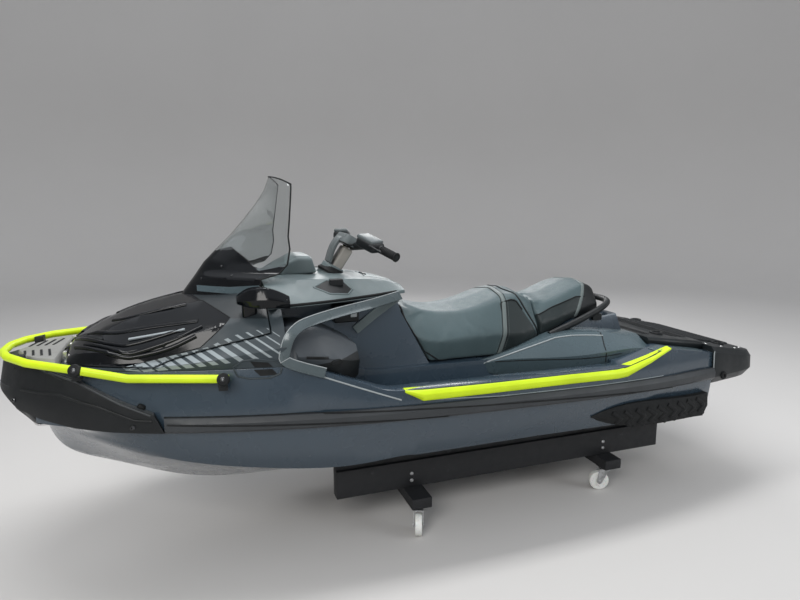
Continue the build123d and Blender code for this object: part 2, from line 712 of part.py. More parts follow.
with BuildPart() as grips:
    with BuildSketch(along(BAR_ROUTE[0], BAR_ROUTE[1], 0)):
        Circle(GRIP_R + 4)
    extrude(amount=6)
    with BuildSketch(along(BAR_ROUTE[0], BAR_ROUTE[1], 0)):
        Circle(GRIP_R)
    extrude(amount=GRIP_LENGTH)
    with BuildSketch(along(BAR_ROUTE[0], BAR_ROUTE[1], 0)):
        Circle(BAR_R)
    extrude(amount=GRIP_LENGTH, mode=Mode.SUBTRACT)
    mirror(about=Plane.XZ)
keep(grips.part, "grips")

LEVER_ROUTE = [(285, 305, 1306), (349, 303, 1330), (311, 396, 1301)]
with BuildPart() as levers:
    with BuildSketch(along(BAR_ROUTE[0], BAR_ROUTE[1], GRIP_LENGTH)):
        Circle(BAR_R + 8)
    extrude(amount=16)
    add(tube(LEVER_ROUTE, 5))
    add(bar_tube, mode=Mode.SUBTRACT)
    mirror(about=Plane.XZ)
keep(levers.part, "levers")

with BuildPart() as steering_column:
    with BuildSketch(column_plane(COLLAR_RISE + FIT)):
        Circle(COLUMN_R)
    with BuildSketch(column_plane(COLUMN_TOP)):
        Circle(COLUMN_R - 6)
    loft()
    with BuildSketch(column_plane(COLUMN_TOP - 30)):
        RectangleRounded(64, 130, 18)
    extrude(amount=52)
    with BuildSketch(column_plane(COLLAR_RISE + FIT)):
        Circle(COLUMN_PIN_R)
    extrude(amount=-(COLUMN_PIN_DEPTH - 5))
    add(bar_tube, mode=Mode.SUBTRACT)
keep(steering_column.part, "steering_column")

with BuildPart() as bar_pad:
    with BuildSketch(column_plane(COLUMN_TOP + 22)):
        RectangleRounded(92, 210, 34)
    extrude(amount=46, taper=14)
    add(bar_tube, mode=Mode.SUBTRACT)
keep(bar_pad.part, "bar_pad")

# Seats on the spine
Seat = namedtuple("Seat", "x base_y base_z bulge_y bulge_z top_y top_z crown_z")
DRIVER_SEAT = [
    Seat(132, 150, 930, 158, 975, 105, 1018, 1032),
    Seat(20, 236, 738, 255, 850, 140, 985, 1004),
    Seat(-160, 246, 730, 268, 850, 165, 968, 992),
    Seat(-380, 250, 730, 272, 850, 170, 1022, 1044),
    Seat(SEAT_SPLIT_X, 236, 770, 252, 885, 168, 1002, 1022),
]
PASSENGER_SEAT = [
    Seat(SEAT_SPLIT_X, 236, 770, 252, 885, 168, 1002, 1022),
    Seat(-760, 222, 852, 228, 925, 164, 1016, 1036),
    Seat(-880, 206, 880, 212, 950, 150, 1058, 1076),
    Seat(-1000, 170, 896, 176, 960, 118, 1032, 1046),
]


def cushion(rows):
    """Seat cushion lofted through its rows and resting on the spine."""
    with BuildPart() as pad:
        loft([
            section(r.x, [
                (0, r.base_z), (r.base_y, r.base_z), (r.bulge_y, r.bulge_z),
                (r.top_y, r.top_z), (0, r.crown_z),
            ])
            for r in rows
        ])
        add(deck.part, mode=Mode.SUBTRACT)
    return pad.part


driver_seat = cushion(DRIVER_SEAT)
passenger_seat = cushion(PASSENGER_SEAT)
keep(driver_seat, "driver_seat")
keep(passenger_seat, "passenger_seat")

# Grab rail behind the passenger
RAIL_ROUTE = [(-628, 268, 836), (-800, 262, 892), (-975, 236, 950), (-1105, 118, 962)]
with BuildPart() as grab_rail:
    add(tube(across(RAIL_ROUTE), GRAB_R))
    for x, y in ((-690, 244), (-930, 232)):
        with BuildSketch(Plane.XZ.offset(-y + 30)):
            with Locations((x, 800 + (-600 - x) * 0.31)):
                RectangleRounded(54, 34, 8)
        extrude(amount=-50)
    add(deck.part, mode=Mode.SUBTRACT)
    add(passenger_seat, mode=Mode.SUBTRACT)
    add(driver_seat, mode=Mode.SUBTRACT)
    split(bisect_by=Plane.XZ, keep=Keep.BOTTOM)
    mirror(about=Plane.XZ)
keep(grab_rail.part, "grab_rail")

# Fairings beside the seats, flaring out over the footwells' aft ends
Wing = namedtuple("Wing", "x low_z crease_y crease_z top_y top_z")
WING = [
    Wing(-215, 690, 262, 706, 252, 733),
    Wing(-420, 650, 320, 742, 286, 786),
    Wing(-640, 650, 402, 752, 330, 846),
    Wing(-900, 650, 448, 772, 352, 846),
    Wing(-1105, 650, 455, 766, 352, 822),
]
with BuildPart() as seat_wings:
    loft([
        outline_at(r.x, [
            (SPINE_HALF, r.low_z), (wide(r.crease_y) - 6, r.low_z), (wide(r.crease_y), r.crease_z),
            (wide(r.top_y), r.top_z), (SPINE_HALF, r.top_z),
        ])
        for r in WING
    ])
    add(deck.part, mode=Mode.SUBTRACT)
    add(driver_seat, mode=Mode.SUBTRACT)
    add(passenger_seat, mode=Mode.SUBTRACT)
    add(grab_rail.part, mode=Mode.SUBTRACT)
    mirror(about=Plane.XZ)
keep(seat_wings.part, "seat_wings")

# Soft lime pads over the gunwales
Pad = namedtuple("Pad", "x low_z high_z")
PAD = [
    Pad(285, 722, 738), Pad(215, 702, 752), Pad(-200, 694, 748),
    Pad(-700, 686, 738), Pad(-900, 688, 740), Pad(-1135, 756, 790),
]
PAD_INNER_GAP = 14
with BuildPart() as gunwale_pads:
    loft([
        outline_at(r.x, [
            (side_y(r.x) - 70, r.low_z), (side_y(r.x) + 2, r.low_z), (side_y(r.x) + 10, r.low_z + 6),
            (side_y(r.x) - 2, r.high_z - 4), (side_y(r.x) - 20, r.high_z + 4),
            (side_y(r.x) - 70, r.high_z + 4),
        ])
        for r in PAD
    ])
    add(deck.part, mode=Mode.SUBTRACT)
    add(rub_bands.part, mode=Mode.SUBTRACT)
    add(block((BOW_X, STERN_X), FOOTWELL_OUTER_Y + PAD_INNER_GAP, (SHEER_Z, CONSOLE_Z)), mode=Mode.SUBTRACT)
    mirror(about=Plane.XZ)
keep(gunwale_pads.part, "gunwale_pads")

# Trim round the fore end of each footwell, and the deflector inside it
FRAME_ROUTE = [
    (715, wide(534), 900), (722, wide(505), 985), (655, wide(446), 1062),
    (470, wide(386), 1068), (330, wide(326), 1068), (175, wide(232), 1068),
]
with BuildPart() as footwell_frames:
    add(tube(FRAME_ROUTE, FRAME_R))
    add(deck.part, mode=Mode.SUBTRACT)
    add(bow_cowl.part, mode=Mode.SUBTRACT)
    add(console.part, mode=Mode.SUBTRACT)
    mirror(about=Plane.XZ)
keep(footwell_frames.part, "footwell_frames")

Deflector = namedtuple("Deflector", "x low_z low_y mid_y mid_z high_y high_z")
DEFLECTOR = [
    Deflector(740, 800, 500, 522, 910, 440, 1010),
    Deflector(640, 770, 500, 530, 905, 430, 1010),
    Deflector(520, 760, 490, 520, 880, 420, 965),
    Deflector(435, 790, 450, 478, 862, 420, 915),
]
with BuildPart() as leg_deflectors:
    loft([
        outline_at(r.x, [
            (SPINE_HALF, r.low_z), (wide(r.low_y), r.low_z), (wide(r.mid_y), r.mid_z),
            (wide(r.high_y), r.high_z), (SPINE_HALF, r.high_z),
        ])
        for r in DEFLECTOR
    ])
    add(deck.part, mode=Mode.SUBTRACT)
    add(bow_cowl.part, mode=Mode.SUBTRACT)
    add(footwell_frames.part, mode=Mode.SUBTRACT)
    mirror(about=Plane.XZ)
keep(leg_deflectors.part, "leg_deflectors")

with BuildPart() as footwell_mats:
    add(footwell(-MAT_INSET, FOOTWELL_Z, FOOTWELL_Z + MAT_THICK))
    add(seat_wings.part, mode=Mode.SUBTRACT)
keep(footwell_mats.part, "footwell_mats")

# Stern deck panel, the platform extension behind the transom, their mats and anchors
Extension = namedtuple("Extension", "x low_y half_y top_y")
EXTENSION = [
    Extension(TRANSOM_X, 480, 514, 486),
    Extension(-1620, 458, 492, 464),
    Extension(-1760, 430, 464, 436),
    Extension(-1835, 392, 430, 400),
    Extension(STERN_X, 330, 372, 340),
]


def extension_top(x):
    """Height of the extension's sloping top at station x."""
    return EXTENSION_FORE_Z + (EXTENSION_FORE_Z - EXTENSION_AFT_Z) * (x - TRANSOM_X) / (TRANSOM_X - STERN_X)


with BuildPart() as platform_extension:
    loft([
        section(r.x, [
            (0, EXTENSION_BASE_Z), (wide(r.low_y), EXTENSION_BASE_Z), (wide(r.half_y), EXTENSION_BASE_Z + 45),
            (wide(r.half_y) - 4, extension_top(r.x) - 28), (wide(r.top_y), extension_top(r.x)),
            (0, extension_top(r.x)),
        ])
        for r in EXTENSION
    ])
    with Locations(*[(x, y, extension_top(x)) for x, y in EXTENSION_ANCHORS]):
        Cylinder(ANCHOR_R, 2 * ANCHOR_DEPTH, mode=Mode.SUBTRACT)
keep(platform_extension.part, "platform_extension")


def rear_deck_top(x):
    """Height of the stern deck panel's top at station x."""
    fall = REAR_DECK_FORE_Z - EXTENSION_FORE_Z - REAR_DECK_STEP
    return REAR_DECK_FORE_Z - fall * (REAR_DECK_FORE_X - x) / (REAR_DECK_FORE_X - TRANSOM_X)


ANCHORS = [(x, y, rear_deck_top(x)) for x, y in REAR_ANCHORS]
ANCHORS += [(x, y, extension_top(x)) for x, y in EXTENSION_ANCHORS]
with BuildPart() as anchor_wells:
    with Locations(*[(x, y, z - ANCHOR_DEPTH) for x, y, z in ANCHORS]):
        Cylinder(ANCHOR_R, ANCHOR_DEPTH + ANCHOR_RISE, align=(Align.CENTER, Align.CENTER, Align.MIN))
with BuildPart() as cargo_anchors:
    add(anchor_wells.part)
    with Locations(*[(x, y, z - ANCHOR_DEPTH + ANCHOR_FLOOR) for x, y, z in ANCHORS]):
        Cylinder(
            ANCHOR_BORE_R, ANCHOR_DEPTH + ANCHOR_RISE,
            align=(Align.CENTER, Align.CENTER, Align.MIN), mode=Mode.SUBTRACT,
        )
cargo_anchors.part.label = "cargo_anchors"
export_step(cargo_anchors.part, "parts/cargo_anchors.step")

with BuildPart() as rear_deck:
    add(side_prism([
        (REAR_DECK_FORE_X, DECK_SHOULDER_Z), (REAR_DECK_FORE_X, REAR_DECK_FORE_Z),
        (TRANSOM_X, rear_deck_top(TRANSOM_X)), (TRANSOM_X, DECK_SHOULDER_Z),
    ], wide(REAR_DECK_DRAWN_HALF)))
    fillet(rear_deck.edges().filter_by(Axis.X, tolerance=20).group_by(Axis.Z)[-1], REAR_DECK_ROUND)
    add(deck.part, mode=Mode.SUBTRACT)
    add(seat_wings.part, mode=Mode.SUBTRACT)
    add(anchor_wells.part, mode=Mode.SUBTRACT)
rear_deck.part.label = "rear_deck"
export_step(rear_deck.part, "parts/rear_deck.step")

with BuildPart() as platform_mat:
    with BuildSketch(Plane(
        origin=(TRANSOM_X, 0, EXTENSION_FORE_Z),
        x_dir=(STERN_X - TRANSOM_X, 0, EXTENSION_AFT_Z - EXTENSION_FORE_Z), z_dir=(
            -(EXTENSION_FORE_Z - EXTENSION_AFT_Z), 0, TRANSOM_X - STERN_X,
        ),
    )):
        with Locations((MAT_CENTRE, 0)):
            RectangleRounded(MAT_LENGTH, MAT_WIDTH, MAT_CORNER)
    extrude(amount=MAT_THICK)
    add(anchor_wells.part, mode=Mode.SUBTRACT)
    with Locations(*[(x, y, extension_top(x)) for x, y in EXTENSION_ANCHORS]):
        Cylinder(ANCHOR_R + 8, 4 * ANCHOR_DEPTH, mode=Mode.SUBTRACT)
keep(platform_mat.part, "platform_mat")

# Sponsons low on the stern quarters
Sponson = namedtuple("Sponson", "x low_z top_z out_y")
SPONSON = [
    Sponson(-692, 478, 492, 560), Sponson(-860, 424, 532, 578),
    Sponson(-1150, 396, 528, 570), Sponson(-1432, 384, 518, 538),
]
SPONSON_ROOT_Y = 400
with BuildPart() as sponsons:
    loft([
        outline_at(r.x, [
            (SPONSON_ROOT_Y, r.low_z), (wide(r.out_y) - 26, r.low_z),
            (wide(r.out_y), (r.low_z + r.top_z) / 2),
            (wide(r.out_y) - 6, r.top_z), (SPONSON_ROOT_Y, r.top_z),
        ])
        for r in SPONSON
    ])
    add(hull.part, mode=Mode.SUBTRACT)
    add(footwell(TRAY_WALL, FOOTWELL_Z - TRAY_WALL, DECK_TOP_Z), mode=Mode.SUBTRACT)
    mirror(about=Plane.XZ)
keep(sponsons.part, "sponsons")

# Jet drive: ride plate, intake grate, pump with stator, impeller and shaft
with BuildPart() as ride_plate:
    add(block((TRANSOM_X, PUMP_FORE_X), TUNNEL_HALF, (KEEL_Z, KEEL_Z + PLATE_THICK)))
keep(ride_plate.part, "ride_plate")

GRATE_X = (INTAKE_FORE_X - 12, INTAKE_AFT_X + 12)
with BuildPart() as intake_grate:
    for y in (-51, -17, 17, 51):
        add(side_prism([
            (GRATE_X[0], KEEL_Z + 2), (GRATE_X[1], KEEL_Z + 2),
            (GRATE_X[1], KEEL_Z + 14), (GRATE_X[0], KEEL_Z + 14),
        ], GRATE_BAR / 2).moved(Location((0, y, 0))))
    for x in (INTAKE_FORE_X - 20, (GRATE_X[0] + GRATE_X[1]) / 2, INTAKE_AFT_X + 20):
        add(block((x - GRATE_BAR / 2, x + GRATE_BAR / 2), INTAKE_HALF, (KEEL_Z + 2, KEEL_Z + 14)))
    add(hull.part, mode=Mode.SUBTRACT)
keep(intake_grate.part, "intake_grate")


def turned(profile):
    """Solid turned about the jet's axis from (x, radius) points."""
    with BuildPart() as round_part:
        with BuildSketch(Plane(origin=(0, 0, JET_Z), x_dir=(1, 0, 0), z_dir=(0, -1, 0))):
            with BuildLine():
                Polyline(*profile, close=True)
            make_face()
        revolve(axis=Axis((0, 0, JET_Z), (1, 0, 0)))
    return round_part.part


def jet_plane(x):
    """Plane square to the jet's axis at station x, facing aft."""
    return Plane(origin=(x, 0, JET_Z), x_dir=(0, 1, 0), z_dir=(-1, 0, 0))


CONE_MID_X, CONE_AFT_X = -1395, -1440
STATOR_FORE_X, STATOR_AFT_X, HUB_TIP_X = -1165, -1262, -1300
STATOR_R, CONE_R = 30, 50
with BuildPart() as jet_pump:
    add(turned([
        (PUMP_FORE_X, PUMP_BORE_R), (PUMP_FORE_X, FLANGE_R), (PUMP_FORE_X - 14, FLANGE_R),
        (PUMP_FORE_X - 14, PUMP_R - 6), (PUMP_AFT_X, PUMP_R - 6), (CONE_MID_X, CONE_R + 6),
        (CONE_AFT_X, CONE_R), (CONE_AFT_X, CONE_R - 8), (CONE_MID_X, CONE_R - 4), (PUMP_AFT_X, PUMP_BORE_R),
    ]))
    add(turned([
        (STATOR_FORE_X, SHAFT_R + PIN_FIT), (STATOR_FORE_X, STATOR_R), (STATOR_AFT_X, STATOR_R),
        (HUB_TIP_X, SHAFT_R + 6), (HUB_TIP_X, SHAFT_R + PIN_FIT),
    ]))
    with BuildSketch(jet_plane(STATOR_FORE_X - 15)):
        with PolarLocations(0, STATOR_VANES):
            with Locations(((PUMP_BORE_R + STATOR_R) / 2, 0)):
                Rectangle(PUMP_BORE_R - STATOR_R + 10, 4)
    extrude(amount=70)
    for side in (-1, 1):
        with BuildSketch(Plane.XZ):
            with BuildLine():
                Polyline(
                    (PUMP_AFT_X + 5, JET_Z + side * ARM_LOW), (NOZZLE_PIVOT_X - 15, JET_Z + side * ARM_LOW),
                    (NOZZLE_PIVOT_X - 15, JET_Z + side * ARM_HIGH), (PUMP_AFT_X + 5, JET_Z + side * ARM_HIGH),
                    close=True,
                )
            make_face()
        extrude(amount=15, both=True)
    with Locations((NOZZLE_PIVOT_X, 0, JET_Z)):
        Cylinder(NOZZLE_PIN_R + PIN_FIT, 3 * ARM_HIGH, mode=Mode.SUBTRACT)
keep(jet_pump.part, "jet_pump")

BLADE_STATIONS = [(-1052, 0), (-1092, 34), (-1132, 68)]
HUB_FORE_X, HUB_AFT_X, HUB_R, SHAFT_AFT_X = -1052, -1135, 28, -1290
with BuildPart() as impeller:
    add(turned([
        (SHAFT_FORE_X, 0), (SHAFT_FORE_X, SHAFT_R), (HUB_FORE_X + 12, SHAFT_R), (HUB_FORE_X, HUB_R),
        (HUB_AFT_X, HUB_R), (HUB_AFT_X - 15, SHAFT_R), (SHAFT_AFT_X, SHAFT_R), (SHAFT_AFT_X, 0),
    ]))
    for blade in range(BLADES):
        faces = []
        for x, lead in BLADE_STATIONS:
            with BuildSketch(jet_plane(x)) as cut:
                with Locations(Location((0, 0, 0), (0, 0, lead + 360 * blade / BLADES))):
                    with Locations(((IMPELLER_R + 22) / 2, 0)):
                        Rectangle(IMPELLER_R - 22, 7)
            faces.append(cut.sketch.face())
        loft(faces, ruled=True)
keep(impeller.part, "impeller")

# Steering nozzle on upright pins, with the reverse bucket on its side pins
with BuildPart() as steering_nozzle:
    add(turned([
        (CONE_AFT_X, NOZZLE_R - 6), (CONE_AFT_X, NOZZLE_R), (NOZZLE_TAPER_X, NOZZLE_R),
        (NOZZLE_AFT_X, NOZZLE_BORE_R + 9),
        (NOZZLE_AFT_X, NOZZLE_BORE_R), (NOZZLE_TAPER_X, NOZZLE_R - 8),
    ]))
    with Locations((NOZZLE_PIVOT_X, 0, JET_Z)):
        Cylinder(NOZZLE_PIN_R, 2 * ARM_HIGH + 6)
    with BuildSketch(Plane.XZ):
        with Locations((BUCKET_PIVOT_X, JET_Z)):
            Circle(BUCKET_PIN_R)
    extrude(amount=BUCKET_HALF + 3, both=True)
    add(
        turned([
            (CONE_AFT_X + 10, 0), (CONE_AFT_X + 10, NOZZLE_R - 8), (NOZZLE_TAPER_X, NOZZLE_R - 8),
            (NOZZLE_AFT_X, NOZZLE_BORE_R), (NOZZLE_AFT_X - 10, NOZZLE_BORE_R), (NOZZLE_AFT_X - 10, 0),
        ]),
        mode=Mode.SUBTRACT,
    )
keep(steering_nozzle.part, "steering_nozzle")


def bucket_point(angle, radius):
    """Point at an angle above straight aft, seen from the bucket's pivot."""
    return (BUCKET_PIVOT_X - radius * cos(radians(angle)), JET_Z + radius * sin(radians(angle)))


BUCKET_LOW, BUCKET_MID, BUCKET_HIGH = 32, 68, 104
with BuildPart() as reverse_bucket:
    with BuildSketch(Plane.XZ):
        with BuildLine():
            ThreePointArc(*[bucket_point(a, BUCKET_R) for a in (BUCKET_LOW, BUCKET_MID, BUCKET_HIGH)])
            Line(bucket_point(BUCKET_HIGH, BUCKET_R), bucket_point(BUCKET_HIGH, BUCKET_R - 6))
            ThreePointArc(*[bucket_point(a, BUCKET_R - 6) for a in (BUCKET_HIGH, BUCKET_MID, BUCKET_LOW)])
            Line(bucket_point(BUCKET_LOW, BUCKET_R - 6), bucket_point(BUCKET_LOW, BUCKET_R))
        make_face()
    extrude(amount=BUCKET_HALF, both=True)
    for side in (-1, 1):
        with BuildSketch(Plane.XZ.offset(-side * (BUCKET_HALF - 3))):
            with BuildLine():
                Polyline(
                    bucket_point(BUCKET_LOW - 60, 16), bucket_point(BUCKET_LOW, BUCKET_R - 2),
                    bucket_point(BUCKET_MID, BUCKET_R - 2), bucket_point(BUCKET_HIGH, BUCKET_R - 2),
                    bucket_point(BUCKET_HIGH + 60, 16), close=True,
                )
            make_face()
            with Locations((BUCKET_PIVOT_X, JET_Z)):
                Circle(16)
        extrude(amount=3, both=True)
    with BuildSketch(Plane.XZ):
        with Locations((BUCKET_PIVOT_X, JET_Z)):
            Circle(BUCKET_PIN_R + PIN_FIT)
    extrude(amount=BEAM, both=True, mode=Mode.SUBTRACT)
keep(reverse_bucket.part, "reverse_bucket")

# Boarding ladder folded up under the extension
with BuildPart() as ladder_brackets:
    for y in (-LADDER_Y, LADDER_Y):
        for side in (-1, 1):
            cheek = block((LADDER_X - 16, LADDER_X + 16), 4, (LADDER_Z - 14, EXTENSION_BASE_Z))
            add(cheek.moved(Location((0, y + side * 15, 0))))
    with BuildSketch(Plane.XZ):
        with Locations((LADDER_X, LADDER_Z)):
            Circle(LADDER_PIN_R + PIN_FIT)
    extrude(amount=BEAM, both=True, mode=Mode.SUBTRACT)
keep(ladder_brackets.part, "ladder_brackets")
with BuildPart() as boarding_ladder:
    for y in (-LADDER_Y, LADDER_Y):
        with BuildSketch(Plane.XZ.offset(-y)):
            with Locations((LADDER_X + LADDER_REACH / 2, LADDER_Z)):
                SlotCenterToCenter(LADDER_REACH, 20)
        extrude(amount=10, both=True)
        with BuildSketch(Plane.XZ.offset(-y)):
            with Locations((LADDER_X, LADDER_Z)):
                Circle(LADDER_PIN_R)
        extrude(amount=20, both=True)
    with BuildSketch(Plane.XZ):
        with Locations((LADDER_X + LADDER_REACH - 14, LADDER_Z)):
            RectangleRounded(46, 18, 6)
    extrude(amount=LADDER_Y, both=True)
keep(boarding_ladder.part, "boarding_ladder")

# Eyes for towing and tying down
with BuildPart() as tow_eyes:
    with BuildSketch(Plane.XZ):
        with BuildLine():
            Polyline(
                (BOW_EYE_X - 60, BOW_EYE_Z + 24), (BOW_EYE_X - 60, BOW_EYE_Z - 24),
                (BOW_EYE_X, BOW_EYE_Z - 20), (BOW_EYE_X, BOW_EYE_Z + 20), close=True,
            )
        make_face()
        with Locations((BOW_EYE_X, BOW_EYE_Z)):
            Circle(20)
            Circle(EYE_BORE_R, mode=Mode.SUBTRACT)
    extrude(amount=EYE_THICK / 2, both=True)
    for y in (-STERN_EYE_Y, STERN_EYE_Y):
        with BuildSketch(Plane.XZ.offset(-y)):
            with Locations((TRANSOM_X - 14, STERN_EYE_Z)):
                Rectangle(28, 40)
            with Locations((STERN_EYE_X, STERN_EYE_Z)):
                Circle(20)
                Circle(EYE_BORE_R, mode=Mode.SUBTRACT)
        extrude(amount=EYE_THICK / 2, both=True)
    add(hull.part, mode=Mode.SUBTRACT)
    add(bow_bumper.part, mode=Mode.SUBTRACT)
keep(tow_eyes.part, "tow_eyes")

# Tubular bow rail standing off the plan outline, on its clamps
Rail = namedtuple("Rail", "x standoff z")
BOW_RAIL = [
    Rail(975, 12, 846), Rail(1254, 21, 856), Rail(1372, 23, 862),
    Rail(1516, 24, 890), Rail(1690, 25, 914), Rail(1800, 11, 918),
]
BOW_RAIL_NOSE = (BOW_X - 19, 0, 912)
with BuildPart() as bow_rail:
    side_run = [(r.x, half_beam(r.x) + r.standoff, r.z) for r in BOW_RAIL]
    add(tube(across([*side_run, BOW_RAIL_NOSE]), BOW_RAIL_R))
bow_rail.part.label = "bow_rail"
export_step(bow_rail.part, "parts/bow_rail.step")

Clamp = namedtuple("Clamp", "x standoff z")
RAIL_CLAMPS = [Clamp(992, 12, 846), Clamp(1516, 24, 892), Clamp(1740, 10, 918)]
with BuildPart() as rail_clamps:
    for r in RAIL_CLAMPS:
        with Locations((r.x, half_beam(r.x) + r.standoff - 30, r.z - 16)):
            Box(34, 48, 46)
    add(bow_rail.part, mode=Mode.SUBTRACT)
    add(deck.part, mode=Mode.SUBTRACT)
    add(bow_bumper.part, mode=Mode.SUBTRACT)
    add(bow_cowl.part, mode=Mode.SUBTRACT)
    add(bow_cap.part, mode=Mode.SUBTRACT)
    mirror(about=Plane.XZ)
rail_clamps.part.label = "rail_clamps"
export_step(rail_clamps.part, "parts/rail_clamps.step")

# Dolly: two beams under the hull with bunk strips cut to its bottom, two cross-bars and four swivel casters
with BuildPart() as dolly_beams:
    for side in (1, -1):
        timber = block((BEAM_AFT_X, BEAM_FORE_X), BEAM_THICK / 2, (BEAM_BASE_Z, BEAM_TOP_Z))
        add(timber.moved(Location((0, side * BEAM_Y, 0))))
        bunk = block((BEAM_AFT_X, BEAM_FORE_X), BUNK_WIDTH / 2, (BEAM_TOP_Z, BEAM_TOP_Z + BEAM_THICK))
        add(bunk.moved(Location((0, side * (BEAM_Y - (BEAM_THICK - BUNK_WIDTH) / 2), 0))))
    add(hull.part, mode=Mode.SUBTRACT)
keep(dolly_beams.part, "dolly_beams")

Bar = namedtuple("Bar", "name x half pivot_y turn")
BARS = [Bar("front", 150, 480, 430, 69), Bar("rear", -930, 445, 396, -21)]
BAR_BASE_Z = BEAM_BASE_Z - BAR_THICK
with BuildPart() as dolly_bars:
    for bar in BARS:
        add(block((bar.x - BAR_WIDTH / 2, bar.x + BAR_WIDTH / 2), bar.half, (BAR_BASE_Z, BEAM_BASE_Z)))
        for y in (-bar.pivot_y, bar.pivot_y):
            plate = block((bar.x - 45, bar.x + 45), 32, (BAR_BASE_Z - PLATE_GAUGE, BAR_BASE_Z))
            add(plate.moved(Location((0, y, 0))))
            with Locations((bar.x, y, BAR_BASE_Z - PLATE_GAUGE)):
                Cylinder(24, RACE_HEIGHT, align=(Align.CENTER, Align.CENTER, Align.MAX))
                Cylinder(KING_PIN_R, 2 * RACE_HEIGHT, align=(Align.CENTER, Align.CENTER, Align.MAX))
keep(dolly_bars.part, "dolly_bars")

FORK_TOP_Z = BAR_BASE_Z - PLATE_GAUGE - RACE_HEIGHT - FIT
for bar in BARS:
    for side_name, side in (("port", 1), ("starboard", -1)):
        swivel = Location((bar.x, side * bar.pivot_y, 0), (0, 0, bar.turn * side))
        with BuildPart() as fork:
            with BuildSketch(Plane.XY.offset(FORK_TOP_Z)):
                Circle(FORK_HEAD_R)
                with Locations((CASTER_TRAIL / 2, 0)):
                    Rectangle(CASTER_TRAIL, WHEEL_WIDTH + 14)
                Circle(KING_PIN_R + PIN_FIT, mode=Mode.SUBTRACT)
            extrude(amount=-6)
            for y in (-1, 1):
                with BuildSketch(Plane.XZ.offset(-y * (WHEEL_WIDTH / 2 + 5))):
                    with BuildLine():
                        Polyline(
                            (CASTER_TRAIL - 14, WHEEL_R), (CASTER_TRAIL + 14, WHEEL_R),
                            (CASTER_TRAIL + 4, FORK_TOP_Z), (-8, FORK_TOP_Z), close=True,
                        )
                    make_face()
                    with Locations((CASTER_TRAIL, WHEEL_R)):
                        Circle(14)
                extrude(amount=FORK_GAUGE / 2, both=True)
            with BuildSketch(Plane.XZ):
                with Locations((CASTER_TRAIL, WHEEL_R)):
                    Circle(AXLE_R)
            extrude(amount=WHEEL_WIDTH / 2 + 11, both=True)
        keep(fork.part.moved(swivel), f"caster_fork_{bar.name}_{side_name}")
        with BuildPart() as wheel:
            with BuildSketch(Plane.XZ):
                with Locations((CASTER_TRAIL, WHEEL_R)):
                    Circle(WHEEL_R)
                    Circle(AXLE_R + PIN_FIT, mode=Mode.SUBTRACT)
            extrude(amount=WHEEL_WIDTH / 2, both=True)
            fillet(wheel.edges().filter_by(GeomType.CIRCLE).group_by(SortBy.RADIUS)[-1], 5)
        keep(wheel.part.moved(swivel), f"caster_wheel_{bar.name}_{side_name}")
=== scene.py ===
import bmesh
import bpy
import json
import math
from collections import namedtuple
from mathutils import Matrix, Vector
from mathutils.bvhtree import BVHTree

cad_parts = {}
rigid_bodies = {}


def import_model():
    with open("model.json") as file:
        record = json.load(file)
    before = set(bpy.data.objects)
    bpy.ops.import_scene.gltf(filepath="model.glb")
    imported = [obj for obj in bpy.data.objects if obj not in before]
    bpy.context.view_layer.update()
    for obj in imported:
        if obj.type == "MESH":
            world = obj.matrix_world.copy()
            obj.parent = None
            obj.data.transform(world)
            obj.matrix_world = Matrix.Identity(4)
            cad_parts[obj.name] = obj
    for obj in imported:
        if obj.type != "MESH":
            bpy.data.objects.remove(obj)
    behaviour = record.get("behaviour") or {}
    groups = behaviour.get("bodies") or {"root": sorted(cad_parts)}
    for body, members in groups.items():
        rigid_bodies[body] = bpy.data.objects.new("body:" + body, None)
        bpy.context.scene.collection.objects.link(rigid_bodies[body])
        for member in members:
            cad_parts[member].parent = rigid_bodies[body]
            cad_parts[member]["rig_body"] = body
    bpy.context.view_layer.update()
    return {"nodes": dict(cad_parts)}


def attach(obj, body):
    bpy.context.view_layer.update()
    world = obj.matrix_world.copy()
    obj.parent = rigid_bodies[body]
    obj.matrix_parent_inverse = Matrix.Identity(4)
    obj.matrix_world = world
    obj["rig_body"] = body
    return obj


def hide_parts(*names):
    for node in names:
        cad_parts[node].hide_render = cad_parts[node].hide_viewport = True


bl_info = {
    "name": "Personal watercraft on a dolly",
    "version": (1, 0, 0),
    "blender": (4, 5, 0),
    "location": "View3D > Sidebar > Watercraft",
    "description": "Builds the looks of a three-seat personal watercraft on its shop dolly",
    "category": "Object",
}

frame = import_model()
MM = 0.001
SIDES = (1, -1)
UP = Vector((0, 0, 1))


# Settings

def colour(name, default, description):
    """Colour property of a finish, in linear light."""
    return bpy.props.FloatVectorProperty(
        name=name, description=description, subtype="COLOR", size=3, min=0, max=1, default=default,
    )


def length(name, default, description):
    """Length property in metres."""
    return bpy.props.FloatProperty(name=name, description=description, default=default, min=0, unit="LENGTH")


